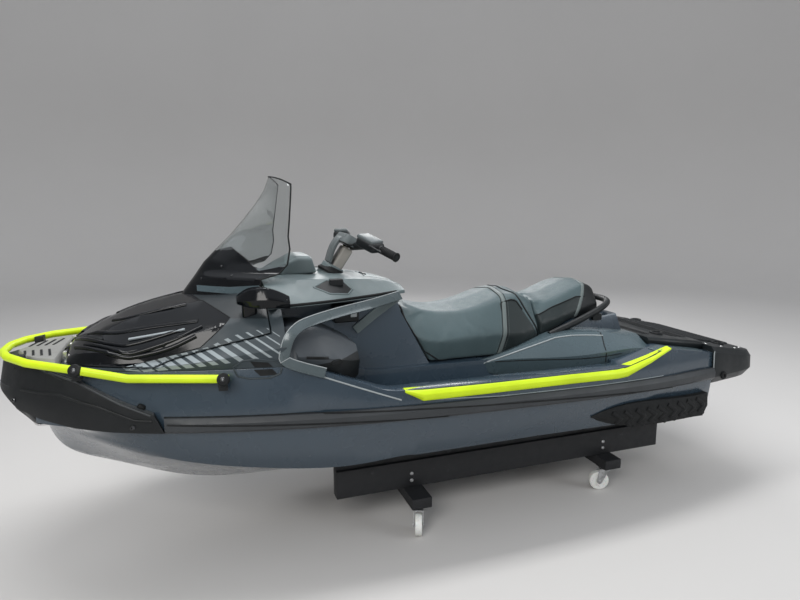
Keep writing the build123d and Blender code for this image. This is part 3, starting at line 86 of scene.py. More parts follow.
class FinishColours(bpy.types.PropertyGroup):
    """Base colours of the craft's and the dolly's finishes."""

    hull: colour("Hull", (0.029, 0.048, 0.068), "Slate gelcoat of the hull and deck sides")
    deck: colour("Deck", (0.062, 0.092, 0.106), "Satin grey of cowl, fairings and stern quarters")
    # The stripe colour also paints the highlight line above the rub band.
    stripe: colour("Stripes", (0.24, 0.275, 0.29), "Pale stripes on the cowl's shoulder")
    console: colour("Console", (0.108, 0.138, 0.144), "Grey of the console and glovebox lid")
    gloss_black: colour("Gloss black", (0.0016, 0.0024, 0.0036), "Front lid, mirrors and mask")
    black: colour("Moulded black", (0.0050, 0.0066, 0.0078), "Textured black plastic")
    # Pale grey also paints highlight: the pale lines along the seat wings' upper edges and the arch bands'
    # upper edges are painted highlights.
    pale: colour("Pale grey", (0.30, 0.33, 0.34), "Footwell trim, bow cap and handlebar pad")
    cap: colour("Bow cap", (0.235, 0.235, 0.225), "Warm grey cap behind the bow rail")
    lime: colour("Lime", (0.56, 0.74, 0.010), "Bow rail and gunwale pads")
    vinyl: colour("Seat vinyl", (0.058, 0.088, 0.096), "Grey-green marine vinyl")
    vinyl_dark: colour("Seat sides", (0.015, 0.022, 0.023), "Darker vinyl of the seat's side panels")
    mat: colour("Foam mat", (0.022, 0.024, 0.026), "Ribbed foam mats")
    rubber: colour("Rubber", (0.0045, 0.0055, 0.0062), "Grips and gaskets")
    screen: colour("Screen tint", (0.74, 0.77, 0.77), "Smoked tint of the windshield")
    cast: colour("Cast aluminium", (0.52, 0.53, 0.54), "Jet pump and ride plate")
    steel: colour("Stainless", (0.60, 0.60, 0.60), "Ladder, eyes and hinge")
    zinc: colour("Zinc plate", (0.50, 0.51, 0.52), "Caster forks")
    nylon: colour("Nylon", (0.74, 0.75, 0.73), "White caster wheels")
    paint: colour("Beam paint", (0.012, 0.013, 0.015), "Matt black paint on the dolly's timber")
    cowl: colour("Cowl", (0.030, 0.041, 0.048), "Charcoal of the cowl's sides")
    lid: colour("Lid", (0.014, 0.019, 0.022), "Charcoal of the lid's rear part")
    gun: colour("Gunmetal", (0.085, 0.088, 0.092), "Dark screws and bolts")
    pad: colour("Handlebar pad", (0.085, 0.100, 0.104), "Grey of the handlebar pad and switch pods")
    arch: colour("Arch bands", (0.070, 0.092, 0.100), "Grey band over each footwell")
    band: colour("Rub band", (0.034, 0.038, 0.042), "Grey-black band round the gunwale")
    extension: colour("Extension", (0.0045, 0.0070, 0.0085), "Charcoal of the stern extension")
    guard: colour("Leg guard", (0.042, 0.050, 0.058), "Lighter upper half of the leg deflectors")
    column: colour("Column", (0.26, 0.25, 0.23), "Beige grey of the steering column")
    piping: colour("Piping", (0.115, 0.140, 0.140), "Light bands across the seats")
    thread: colour("Thread", (0.20, 0.23, 0.23), "Seat stitches")
    mirror: colour("Mirror", (0.80, 0.81, 0.82), "Silvered mirror glass")
    lamp_glass: colour("Lamp strips", (0.26, 0.29, 0.31), "Pale strips on the nose")
    floor: colour("Floor", (0.56, 0.55, 0.54), "Plain studio floor")


class DetailSizes(bpy.types.PropertyGroup):
    """Sizes of the small forms that are added to the frame."""

    edge: length("Edge round", 0.0022, "Radius of a moulded edge")
    stitch: length("Stitch length", 0.007, "Length of one stitch")
    stitch_gap: length("Stitch spacing", 0.011, "Distance from stitch to stitch")


def colours():
    """The scene's finish colours."""
    return bpy.context.scene.watercraft_colours


def sizes():
    """The scene's detail sizes."""
    return bpy.context.scene.watercraft_sizes


# Finishes

NOISE_LOW, NOISE_HIGH = 0.3, 0.7


class Finish:
    """Node graph of one finish, read in the piece's own coordinates."""

    def __init__(self, name, base, **sockets):
        self.material = bpy.data.materials.new(name)
        self.material.use_nodes = True
        self.tree = self.material.node_tree
        self.shader = self.tree.nodes["Principled BSDF"]
        self.base = (*base, 1)
        self.shader.inputs["Base Color"].default_value = self.base
        for key, value in sockets.items():
            self.shader.inputs[key.replace("_", " ").title().replace("Ior", "IOR")].default_value = value
        self.place = self.tree.nodes.new("ShaderNodeTexCoord").outputs["Object"]
        self.normal = None

    def node(self, kind, **settings):
        made = self.tree.nodes.new(kind)
        for key, value in settings.items():
            setattr(made, key, value)
        return made

    def join(self, source, target):
        self.tree.links.new(source, target)

    def stretched(self, scale, turn=(0, 0, 0)):
        """Coordinates scaled and turned, for a pattern with a direction."""
        mapping = self.node("ShaderNodeMapping")
        mapping.inputs["Scale"].default_value = scale
        mapping.inputs["Rotation"].default_value = turn
        self.join(self.place, mapping.inputs["Vector"])
        return mapping.outputs["Vector"]

    def noise(self, scale, detail=3, roughness=0.55, place=None):
        made = self.node("ShaderNodeTexNoise")
        made.inputs["Scale"].default_value = scale
        made.inputs["Detail"].default_value = detail
        made.inputs["Roughness"].default_value = roughness
        self.join(place or self.place, made.inputs["Vector"])
        return made.outputs["Fac"]

    def cells(self, scale, feature="F1", output="Distance"):
        made = self.node("ShaderNodeTexVoronoi", feature=feature)
        made.inputs["Scale"].default_value = scale
        self.join(self.place, made.inputs["Vector"])
        return made.outputs[output]

    def ramp(self, value, low, high, start=0.0, end=1.0):
        """A value moved from the range low..high to start..end."""
        made = self.node("ShaderNodeMapRange")
        for key, number in (("From Min", low), ("From Max", high), ("To Min", start), ("To Max", end)):
            made.inputs[key].default_value = number
        self.join(value, made.inputs["Value"])
        return made.outputs["Result"]

    def blend(self, share, first, second):
        """Colour between first and second, each a colour or a socket."""
        made = self.node("ShaderNodeMix", data_type="RGBA")
        self.join(share, made.inputs["Factor"])
        for key, value in ((6, first), (7, second)):
            if isinstance(value, bpy.types.NodeSocket):
                self.join(value, made.inputs[key])
            else:
                made.inputs[key].default_value = (*value[:3], 1)
        return made.outputs[2]

    def paint(self, socket):
        self.join(socket, self.shader.inputs["Base Color"])
        return self

    def mottle(self, scale, amount):
        """Slow change of the base colour from place to place."""
        dark = [c * (1 - amount) for c in self.base[:3]]
        light = [min(1, c * (1 + amount)) for c in self.base[:3]]
        return self.paint(self.blend(self.ramp(self.noise(scale), NOISE_LOW, NOISE_HIGH), dark, light))

    def rough(self, value, low, high):
        self.join(self.ramp(value, NOISE_LOW, NOISE_HIGH, low, high), self.shader.inputs["Roughness"])
        return self

    def bump(self, height, distance, strength=1.0):
        made = self.node("ShaderNodeBump")
        made.inputs["Distance"].default_value = distance
        made.inputs["Strength"].default_value = strength
        self.join(height, made.inputs["Height"])
        if self.normal:
            self.join(self.normal, made.inputs["Normal"])
        self.normal = made.outputs["Normal"]
        self.join(self.normal, self.shader.inputs["Normal"])
        return self


def gelcoat(name, base, coat=0.6):
    """Sprayed gelcoat: fine metal flake, slight orange peel, clear gloss on top."""
    made = Finish(name, base, metallic=0.15, coat_weight=coat, coat_roughness=0.04)
    flake = made.ramp(made.cells(scale=1400, output="Color"), low=0.2, high=0.9)
    dark = [c * 0.86 for c in base]
    light = [min(1, c * 1.22) for c in base]
    made.paint(made.blend(flake, dark, light))
    made.rough(made.noise(scale=7), low=0.22, high=0.32)
    return made.bump(made.noise(scale=420, detail=1), distance=0.0003, strength=0.25)


def moulded(name, base, roughness=0.5, grain=620, depth=0.0004):
    """Injection-moulded plastic with a leathery grain and handling marks."""
    made = Finish(name, base, specular_ior_level=0.34)
    made.mottle(scale=5, amount=0.10)
    made.rough(made.noise(scale=16, detail=4), roughness - 0.08, roughness + 0.08)
    return made.bump(made.cells(grain, "SMOOTH_F1"), depth, strength=0.55)


def gloss(name, base):
    """Polished plastic with faint wipe marks."""
    made = Finish(name, base, specular_ior_level=0.3)
    made.mottle(scale=3, amount=0.12)
    wipes = made.noise(scale=22, detail=4, roughness=0.6, place=made.stretched((0.35, 1, 1), (0, 0, 0.5)))
    return made.rough(wipes, low=0.09, high=0.17)


def vinyl(name, base, grain=900, sheen=0.06):
    """Marine vinyl: pebble grain with fine creases between the pebbles."""
    made = Finish(name, base, specular_ior_level=0.32, sheen_weight=sheen, sheen_roughness=0.4)
    made.mottle(scale=6, amount=0.09)
    made.rough(made.noise(scale=30, detail=3), low=0.38, high=0.52)
    made.bump(made.cells(grain, "SMOOTH_F1"), distance=0.0006, strength=0.6)
    return made.bump(made.noise(scale=55, detail=3), distance=0.001, strength=0.18)


def foam(name, base):
    """Closed-cell foam mat with brushed pores."""
    made = Finish(name, base, specular_ior_level=0.25)
    made.mottle(scale=9, amount=0.14)
    made.rough(made.noise(scale=60, detail=3), low=0.78, high=0.92)
    return made.bump(made.noise(scale=1500, detail=2), distance=0.0006, strength=0.7)


def rubbery(name, base):
    """Matt rubber with a dusty bloom."""
    made = Finish(name, base, specular_ior_level=0.3)
    bloom = made.ramp(made.noise(scale=12, detail=4), low=0.45, high=0.85)
    made.paint(made.blend(bloom, base, [c + 0.008 for c in base]))
    made.rough(made.noise(scale=45, detail=3), low=0.62, high=0.8)
    return made.bump(made.noise(scale=800, detail=2), distance=0.0004, strength=0.5)


def cast_metal(name, base):
    """Sand-cast aluminium, slightly oxidised."""
    made = Finish(name, base, metallic=0.9)
    made.mottle(scale=11, amount=0.14)
    made.rough(made.noise(scale=30, detail=4), low=0.34, high=0.52)
    return made.bump(made.noise(scale=520, detail=3), distance=0.0006, strength=0.5)


def brushed(name, base):
    """Brushed stainless steel."""
    made = Finish(name, base, metallic=1.0)
    made.mottle(scale=14, amount=0.05)
    lines = made.noise(scale=90, detail=3, roughness=0.6, place=made.stretched((1, 14, 14)))
    made.rough(lines, low=0.2, high=0.36)
    return made.bump(lines, distance=0.0002, strength=0.3)


def zinc_plated(name, base):
    """Zinc-plated sheet with its pale and dark spangles."""
    made = Finish(name, base, metallic=0.95)
    spangle = made.cells(scale=120, output="Color")
    made.paint(made.blend(spangle, [c * 0.72 for c in base], [min(1, c * 1.2) for c in base]))
    return made.rough(made.noise(scale=40, detail=3), low=0.28, high=0.48)


def painted_timber(name, base):
    """Matt paint over timber: long grain showing through, scuffed pale in spots."""
    made = Finish(name, base, specular_ior_level=0.35)
    grain = made.noise(scale=70, detail=5, roughness=0.6, place=made.stretched((0.05, 1, 1)))
    scuff = made.ramp(made.noise(scale=13, detail=6, roughness=0.7), low=0.62, high=0.72)
    made.paint(made.blend(scuff, [c * 0.9 for c in base], [c * 2.4 + 0.01 for c in base]))
    made.rough(made.noise(scale=25, detail=3), low=0.48, high=0.66)
    return made.bump(grain, distance=0.0012, strength=0.45)


def waxed_nylon(name, base):
    """Turned nylon with a dirty tread."""
    made = Finish(name, base, specular_ior_level=0.5, subsurface_weight=0.08, subsurface_scale=0.004)
    dirt = made.ramp(made.noise(scale=85, detail=5, roughness=0.65), low=0.52, high=0.72)
    made.paint(made.blend(dirt, base, [c * 0.62 for c in base]))
    made.rough(made.noise(scale=50), low=0.3, high=0.45)
    return made.bump(made.noise(scale=300, detail=2), distance=0.0003, strength=0.4)


def smoked_sheet(name, base):
    """Tinted polycarbonate sheet."""
    made = Finish(name, base, transmission_weight=1.0, ior=1.49, roughness=0.02, coat_weight=0.2)
    return made.mottle(scale=2, amount=0.06)


# Each look names a slot, which nothing in the script reads; a piece may name another, which is not read
# either
Look = namedtuple("Look", "maker material colour slot settings", defaults=[()])
LOOKS = {
    "hull": Look(gelcoat, "hull_gelcoat", "hull", "hull_gelcoat"),
    "deck": Look(gelcoat, "deck_gelcoat", "deck", "deck_gelcoat", (0.25,)),
    "cowl": Look(moulded, "cowl_satin", "cowl", "deck_gelcoat", (0.46, 900, 0.0001)),
    "lid": Look(moulded, "lid_satin", "lid", "gloss_black", (0.4, 900, 0.0001)),
    "lime_plain": Look(moulded, "lime_rail", "lime", "lime_pad", (0.4, 900, 0.0001)),
    "gun": Look(brushed, "gunmetal", "gun", "stainless"),
    "pad": Look(moulded, "pad_plastic", "pad", "light_grey_plastic", (0.4, 800, 0.0002)),
    "arch": Look(gelcoat, "arch_gelcoat", "arch", "light_grey_plastic", (0.3,)),
    "band": Look(moulded, "band_rubber", "band", "black_plastic", (0.45,)),
    "extension": Look(moulded, "extension_plastic", "extension", "black_plastic", (0.42, 500, 0.0003)),
    "guard": Look(moulded, "guard_plastic", "guard", "black_plastic", (0.42,)),
    "column": Look(moulded, "column_plastic", "column", "black_plastic", (0.45, 800, 0.0002)),
    "stripe": Look(moulded, "stripe_film", "stripe", "light_grey_plastic", (0.55, 900, 0.0001)),
    "piping": Look(vinyl, "piping_vinyl", "piping", "seat_vinyl", (1400, 0.1)),
    "thread": Look(rubbery, "seat_thread", "thread", "rubber"),
    "mirror": Look(brushed, "mirror_glass", "mirror", "stainless"),
    "lamp_glass": Look(gloss, "lamp_glass", "lamp_glass", "light_grey_plastic"),
    "console": Look(moulded, "console_plastic", "console", "grey_plastic", (0.42, 800, 0.0002)),
    "gloss_black": Look(gloss, "gloss_black", "gloss_black", "gloss_black"),
    "black": Look(moulded, "moulded_black", "black", "black_plastic"),
    "pale": Look(moulded, "pale_plastic", "pale", "light_grey_plastic", (0.42, 800, 0.0002)),
    "cap": Look(moulded, "cap_plastic", "cap", "light_grey_plastic", (0.5, 700, 0.0003)),
    "lime": Look(moulded, "lime_foam", "lime", "lime_pad", (0.42, 900, 0.0003)),
    "vinyl": Look(vinyl, "seat_vinyl", "vinyl", "seat_vinyl"),
    "vinyl_dark": Look(vinyl, "seat_side_vinyl", "vinyl_dark", "seat_vinyl", (420,)),
    "mat": Look(foam, "foam_mat", "mat", "mat_rubber"),
    "rubber": Look(rubbery, "grip_rubber", "rubber", "rubber"),
    "screen": Look(smoked_sheet, "smoked_screen", "screen", "smoked_screen"),
    "cast": Look(cast_metal, "cast_aluminium", "cast", "cast_aluminium"),
    "steel": Look(brushed, "brushed_steel", "steel", "stainless"),
    "zinc": Look(zinc_plated, "zinc_plate", "zinc", "galvanised"),
    "nylon": Look(waxed_nylon, "wheel_nylon", "nylon", "nylon"),
    "timber": Look(painted_timber, "painted_timber", "paint", "beam_paint"),
}
FINISHES = {}


def finish(name):
    """Material of a named look, made once."""
    if name not in FINISHES:
        look = LOOKS[name]
        FINISHES[name] = look.maker(look.material, getattr(colours(), look.colour), *look.settings).material
    return FINISHES[name]


# Meshes

JOIN_DISTANCE, THIN_EDGE, CUT_DISTANCE = 2e-5, 1e-5, 1e-6


def unlinked(name, vertices, faces, edges=()):
    """Mesh from lists of points and faces."""
    mesh = bpy.data.meshes.new(name)
    mesh.from_pydata([tuple(v) for v in vertices], list(edges), [tuple(f) for f in faces])
    mesh.update()
    return mesh


def merged(node):
    """bmesh of a CAD node with its loose triangles joined."""
    source = frame["nodes"][node].data
    shape = bmesh.new()
    points = [shape.verts.new(v.co) for v in source.vertices]
    for p in source.polygons:
        shape.faces.new([points[i] for i in p.vertices])
    bmesh.ops.remove_doubles(shape, verts=shape.verts, dist=JOIN_DISTANCE)
    bmesh.ops.dissolve_degenerate(shape, dist=THIN_EDGE, edges=shape.edges)
    return shape


def creased(shape, angle):
    """Smooth shading everywhere but at edges sharper than the angle."""
    for f in shape.faces:
        f.smooth = True
    for e in shape.edges:
        e.smooth = len(e.link_faces) == 2 and e.calc_face_angle(0) < math.radians(angle)


def placed(name, shape, look, body="craft", replaces=()):
    """Finished piece from a bmesh, riding on its body."""
    mesh = bpy.data.meshes.new(name)
    shape.to_mesh(mesh)
    shape.free()
    return shown(name, mesh, look, body, replaces)


def modelled(name, shape, look, body="craft", crease=None, replaces=()):
    """Finished piece from a bmesh of faces that still need to be turned outwards."""
    bmesh.ops.recalc_face_normals(shape, faces=shape.faces)
    if crease:
        creased(shape, crease)
    return placed(name, shape, look, body, replaces)


def shown(name, mesh, look, body, replaces):
    """Finished piece from a mesh, riding on its body."""
    piece = bpy.data.objects.new(name, mesh)
    bpy.context.scene.collection.objects.link(piece)
    if look:
        mesh.materials.clear()
        mesh.materials.append(finish(look))
    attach(piece, body)
    if replaces:
        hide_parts(*replaces)
    return piece


def rounded_edges(piece, width, angle=40, segments=3, crease=None):
    """Bevel on a piece's sharp edges, applied, and its shading renewed."""
    bevel = piece.modifiers.new("edges", "BEVEL")
    bevel.width = width
    bevel.segments = segments
    bevel.limit_method = "ANGLE"
    bevel.angle_limit = math.radians(angle)
    settled(piece)
    if crease:
        resharpen(piece, crease)


def walled(piece, thickness):
    """Wall grown inwards from a sheet, applied."""
    wall = piece.modifiers.new("wall", "SOLIDIFY")
    wall.thickness = thickness
    wall.offset = -1
    settled(piece)


def settled(piece):
    """Modifiers turned into the piece's own mesh."""
    graph = bpy.context.evaluated_depsgraph_get()
    mesh = bpy.data.meshes.new_from_object(piece.evaluated_get(graph), depsgraph=graph)
    mesh.name = piece.name
    piece.modifiers.clear()
    piece.data = mesh


FORM_FLAT, FORM_CREASE = 0.6, 30
FORM_BEVEL_ANGLE, FORM_BEVEL_SEGMENTS = 32, 2


def body_of(node):
    """Body that a CAD node rides on."""
    return frame["nodes"][node]["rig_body"]


def dressed(node, look, edge=None, crease=FORM_CREASE, cuts=()):
    """A CAD node's form with joined faces, rounded edges and its finish.

    Edge is the radius in metres. Cuts are planes, as a place in mm and a direction,
    where a colour changes.
    """
    shape = merged(node)
    bmesh.ops.dissolve_limit(
        shape, angle_limit=math.radians(FORM_FLAT), verts=shape.verts, edges=shape.edges, delimit={"NORMAL"},
    )
    for place, direction in cuts:
        cut(shape, place, direction)
    creased(shape, crease)
    piece = placed(node + "_form", shape, look, body_of(node), (node,))
    if edge is None:
        edge = sizes().edge
    if edge:
        rounded_edges(piece, edge, FORM_BEVEL_ANGLE, FORM_BEVEL_SEGMENTS, crease)
    return piece


def resharpen(piece, crease):
    """Renew a finished piece's shading at its creases."""
    shape = bmesh.new()
    shape.from_mesh(piece.data)
    creased(shape, crease)
    shape.to_mesh(piece.data)
    shape.free()


# Surfaces

TREES = {}
FAR = 2500
INSIDE = {"side": 400, "top": 900, "back": -1700}
BELT_STEPS = 60
PANEL_WALL, PANEL_GRID, PANEL_CREASE = 1.5, 14, 40
PANEL_BEVEL_ANGLE, PANEL_BEVEL_SEGMENTS = 50, 2


def tree_of(*nodes):
    """Ray tree over the solids of some nodes."""
    if nodes not in TREES:
        points, faces = [], []
        for node in nodes:
            mesh = frame["nodes"][node].data
            start = len(points)
            points += [v.co.copy() for v in mesh.vertices]
            faces += [[start + i for i in p.vertices] for p in mesh.polygons]
        TREES[nodes] = BVHTree.FromPolygons(points, faces)
    return TREES[nodes]


def tree_over(piece):
    """Ray tree over a finished piece."""
    points = [v.co.copy() for v in piece.data.vertices]
    return BVHTree.FromPolygons(points, [list(p.vertices) for p in piece.data.polygons])


def landing(tree, way, side, a, b):
    """Point and normal where flat coordinates in millimetres land on a surface.

    From the side they are (x, z), from the top (x, y) and from the back (y, z). What misses the
    surface lands on the place nearest to one inside the craft.
    """
    inside = INSIDE[way]
    start, direction, middle = {
        "side": ((a, side * FAR, b), (0, -side, 0), (a, side * inside, b)),
        "top": ((a, side * b, FAR), (0, 0, -1), (a, side * b, inside)),
        "back": ((-FAR, side * a, b), (1, 0, 0), (inside, side * a, b)),
    }[way]
    place, normal, _, _ = tree.ray_cast(Vector(start) * MM, Vector(direction))
    if place is None:
        place, normal, _, _ = tree.find_nearest(Vector(middle) * MM)
    return place, normal


def marks(tree, way, spots):
    """Points and normals of flat spots, on each side of a surface."""
    return [landing(tree, way, side, a, b) for side in SIDES for a, b in spots]


def spaced(points, step):
    """Poly-line with a point every step or less, corners kept."""
    run = []
    for start, end in zip(points, points[1:]):
        count = max(1, round(math.dist(start, end) / step))
        run += [[s + (e - s) * k / count for s, e in zip(start, end)] for k in range(count)]
    return [*run, list(points[-1])]


def softened(points, rounds=2):
    """Poly-line with its corners cut a number of times, for a soft bend."""
    for _ in range(rounds):
        cut = [points[0]]
        for start, end in zip(points, points[1:]):
            cut.append([s + (e - s) * 0.25 for s, e in zip(start, end)])
            cut.append([s + (e - s) * 0.75 for s, e in zip(start, end)])
        points = [*cut, points[-1]]
    return points


def strand(tree, way, side, points, lift=0.0, step=8, soft=0):
    """Points and normals of a poly-line on a surface.

    The line is flat and lands as seen from one way, or it is in space and moves to the place
    that is "near".
    """
    ends = spaced(softened(points, soft), step)
    if way == "near":
        hits = [tree.find_nearest(Vector((x, side * y, z)) * MM)[:2] for x, y, z in ends]
    else:
        hits = [landing(tree, way, side, a, b) for a, b in ends]
    return [(place + normal * lift * MM, normal) for place, normal in hits]


def around(tree, x, z, reach, lift=0.0, lean=0.0):
    """Points and normals of a belt over a seat, to both sides of a line along X.

    Reach is the angle from straight up to each end; lean moves the belt aft, in mm,
    towards its ends.
    """
    out = []
    for k in range(BELT_STEPS + 1):
        angle = math.radians(-reach + 2 * reach * k / BELT_STEPS)
        shift = x + lean * (1 - math.cos(angle))
        origin = Vector((shift, 0, z)) * MM
        ray = Vector((0, math.sin(angle), math.cos(angle)))
        place, normal, _, _ = tree.ray_cast(origin + ray, -ray)
        if place is not None:
            out.append((place + normal * lift * MM, normal))
    return out


def gridded(outline, grid):
    """Flat bmesh of an outline, cut into cells no wider than the grid."""
    flat = bmesh.new()
    flat.faces.new([flat.verts.new((a, b, 0)) for a, b in outline])
    for axis in (0, 1):
        values = [p[axis] for p in outline]
        low, run = min(values), max(values) - min(values)
        cuts = int(run // grid)
        for k in range(1, cuts + 1):
            place, direction = [0, 0, 0], [0, 0, 0]
            place[axis], direction[axis] = low + run * k / (cuts + 1), 1
            every = flat.verts[:] + flat.edges[:] + flat.faces[:]
            bmesh.ops.bisect_plane(flat, geom=every, plane_co=place, plane_no=direction)
    return flat


def inlay(shape, tree, way, side, outline, lift=1.0, wall=PANEL_WALL, grid=PANEL_GRID):
    """Add a thin panel with a flat outline, laid on a surface, to a bmesh. Sizes in mm."""
    flat = gridded(outline, grid)
    top, bottom = {}, {}
    for v in flat.verts:
        place, normal = landing(tree, way, side, v.co.x, v.co.y)
        top[v] = shape.verts.new(place + normal * lift * MM)
        bottom[v] = shape.verts.new(place - normal * wall * MM)
    for f in flat.faces:
        shape.faces.new([top[v] for v in f.verts])
        shape.faces.new([bottom[v] for v in reversed(f.verts)])
    for e in flat.edges:
        if e.is_boundary:
            a, b = e.verts
            shape.faces.new((top[a], top[b], bottom[b], bottom[a]))
    flat.free()


def panels(name, nodes, way, outlines, look, lift=1.0, edge=0.0):
    """One piece of thin panels laid on the nodes' surface, on both sides; edge in mm."""
    shape = bmesh.new()
    tree = tree_of(*nodes)
    for side in SIDES:
        for outline in outlines:
            inlay(shape, tree, way, side, outline, lift)
    piece = modelled(name, shape, look, crease=PANEL_CREASE)
    if edge:
        rounded_edges(piece, edge * MM, PANEL_BEVEL_ANGLE, PANEL_BEVEL_SEGMENTS, PANEL_CREASE)


def cut(shape, place, direction):
    """Cut a bmesh's faces along a plane, through a place in mm."""
    every = shape.verts[:] + shape.edges[:] + shape.faces[:]
    bmesh.ops.bisect_plane(
        shape, geom=every, dist=CUT_DISTANCE, plane_co=Vector(place) * MM, plane_no=Vector(direction),
    )


def cut_along(shape, line):
    """Cut a bmesh's faces along each run of a side line of (x, z) pairs."""
    for (x0, z0), (x1, z1) in zip(line, line[1:]):
        cut(shape, (x0, 0, z0), (z1 - z0, 0, x0 - x1))


def skinned(shape, rings):
    """Close a bmesh over rings of points, with a face at both ends."""
    for near, far in zip(rings, rings[1:]):
        for k in range(len(near)):
            after = (k + 1) % len(near)
            shape.faces.new((near[k], near[after], far[after], far[k]))
    shape.faces.new(rings[0])
    shape.faces.new(rings[-1])


def block(shape, low, high):
    """Add a box between two corners in mm to a bmesh."""
    size = [(h - l) * MM for l, h in zip(low, high)]
    middle = [(h + l) / 2 * MM for l, h in zip(low, high)]
    place = Matrix.Translation(middle) @ Matrix.Diagonal((*size, 1))
    bmesh.ops.create_cube(shape, size=1, matrix=place)


def pair_of_blocks(low, high):
    """Bmesh of a box between two corners in mm and of its mirror image."""
    shape = bmesh.new()
    (x0, y0, z0), (x1, y1, z1) = low, high
    for side in SIDES:
        near, far = sorted((side * y0, side * y1))
        block(shape, (x0, near, z0), (x1, far, z1))
    return shape


def turned_block(shape, middle, turn, size):
    """Add a box with its middle and size in mm, turned by a matrix, to a bmesh."""
    place = Matrix.Translation(Vector(middle) * MM) @ turn
    bmesh.ops.create_cube(shape, size=1, matrix=place @ Matrix.Diagonal((*[s * MM for s in size], 1)))


def turned(shape, profile, place, axis, steps=24):
    """Add a lathe form to a bmesh: (radius, height) pairs in mm, closed on the axis at both ends."""
    turn = Vector(axis).to_track_quat("Z", "Y").to_matrix().to_4x4()
    matrix = Matrix.Translation(Vector(place) * MM) @ turn
    rings = []
    for r, h in profile:
        if r == 0:
            rings.append([shape.verts.new(matrix @ (Vector((0, 0, h)) * MM))])
            continue
        angles = [math.tau * k / steps for k in range(steps)]
        points = [Vector((r * math.cos(a), r * math.sin(a), h)) * MM for a in angles]
        rings.append([shape.verts.new(matrix @ p) for p in points])
    for low, high in zip(rings, rings[1:]):
        for k in range(steps):
            after = (k + 1) % steps
            if len(low) == 1:
                shape.faces.new((low[0], high[after], high[k]))
            elif len(high) == 1:
                shape.faces.new((low[k], low[after], high[0]))
            else:
                shape.faces.new((low[k], low[after], high[after], high[k]))


# Growth by rule

BEAD_STEPS, TUBE_STEPS, BEND_STEPS, THREAD_STEPS = 8, 24, 10, 6
THREAD_RADIUS = 0.0005


class Growth:
    """Geometry Nodes tree under construction, with named inputs."""

    def __init__(self, name):
        self.tree = bpy.data.node_groups.new(name, "GeometryNodeTree")
        for way in ("INPUT", "OUTPUT"):
            self.tree.interface.new_socket("Geometry", in_out=way, socket_type="NodeSocketGeometry")
        self.start = self.tree.nodes.new("NodeGroupInput")
        self.end = self.tree.nodes.new("NodeGroupOutput")
        self.guide = self.start.outputs["Geometry"]

    def value(self, name, kind="Float"):
        self.tree.interface.new_socket(name, in_out="INPUT", socket_type="NodeSocket" + kind)
        return self.start.outputs[name]

    def node(self, kind, inputs=(), **settings):
        made = self.tree.nodes.new(kind)
        for key, value in settings.items():
            setattr(made, key, value)
        for key, value in dict(inputs).items():
            if isinstance(value, bpy.types.NodeSocket):
                self.tree.links.new(value, made.inputs[key])
            else:
                made.inputs[key].default_value = value
        return made

    def curve(self):
        """The guide as a curve whose normals are the guide's facing."""
        line = self.node("GeometryNodeMeshToCurve", {"Mesh": self.guide}).outputs["Curve"]
        facing = self.facing()
        aimed = self.node("GeometryNodeSetCurveNormal", {"Curve": line, "Normal": facing}, mode="FREE")
        return aimed.outputs["Curve"]

    def facing(self):
        made = self.node("GeometryNodeInputNamedAttribute", {"Name": "facing"}, data_type="FLOAT_VECTOR")
        return made.outputs["Attribute"]

    def close(self, geometry, smooth=True):
        """End the tree: real geometry, shading, material."""
        real = self.node("GeometryNodeRealizeInstances", {"Geometry": geometry}).outputs["Geometry"]
        shaded = self.node("GeometryNodeSetShadeSmooth", {"Geometry": real, "Shade Smooth": smooth})
        coated = self.node("GeometryNodeSetMaterial", {
            "Geometry": shaded.outputs["Geometry"], "Material": self.value("Material", "Material"),
        })
        self.tree.links.new(coated.outputs["Geometry"], self.end.inputs["Geometry"])
        return self.tree


def bead_tree():
    """Oval bead along a line on a surface: piping, gaskets, seams and pale lines of painted highlight along
    edges.
    """
    made = Growth("bead")
    width, height = made.value("Width"), made.value("Height")
    oval = made.node("GeometryNodeCurvePrimitiveCircle", {"Resolution": BEAD_STEPS, "Radius": 0.5})
    scale = made.node("ShaderNodeCombineXYZ", {"X": height, "Y": width, "Z": 1.0})
    profile = made.node("GeometryNodeTransform", {
        "Geometry": oval.outputs["Curve"], "Scale": scale.outputs["Vector"],
    })
    swept = made.node("GeometryNodeCurveToMesh", {
        "Curve": made.curve(), "Profile Curve": profile.outputs["Geometry"], "Fill Caps": True,
    })
    return made.close(swept.outputs["Mesh"])


def batten_tree():
    """Flat-sided batten along a line on a surface: ribs, slats and steps."""
    made = Growth("batten")
    width, height = made.value("Width"), made.value("Height")
    flat = made.node("GeometryNodeCurvePrimitiveQuadrilateral", {"Width": height, "Height": width})
    swept = made.node("GeometryNodeCurveToMesh", {
        "Curve": made.curve(), "Profile Curve": flat.outputs["Curve"], "Fill Caps": True,
    })
    return made.close(swept.outputs["Mesh"], False)


def tube_tree():
    """Bent tube along a route, with round bends."""
    made = Growth("tube")
    radius, bend = made.value("Radius"), made.value("Bend")
    line = made.node("GeometryNodeMeshToCurve", {"Mesh": made.guide})
    bent = made.node("GeometryNodeFilletCurve", {
        "Curve": line.outputs["Curve"], "Radius": bend, "Limit Radius": True, "Count": BEND_STEPS,
    }, mode="POLY")
    ring = made.node("GeometryNodeCurvePrimitiveCircle", {"Resolution": TUBE_STEPS, "Radius": radius})
    swept = made.node("GeometryNodeCurveToMesh", {
        "Curve": bent.outputs["Curve"], "Profile Curve": ring.outputs["Curve"], "Fill Caps": True,
    })
    return made.close(swept.outputs["Mesh"])


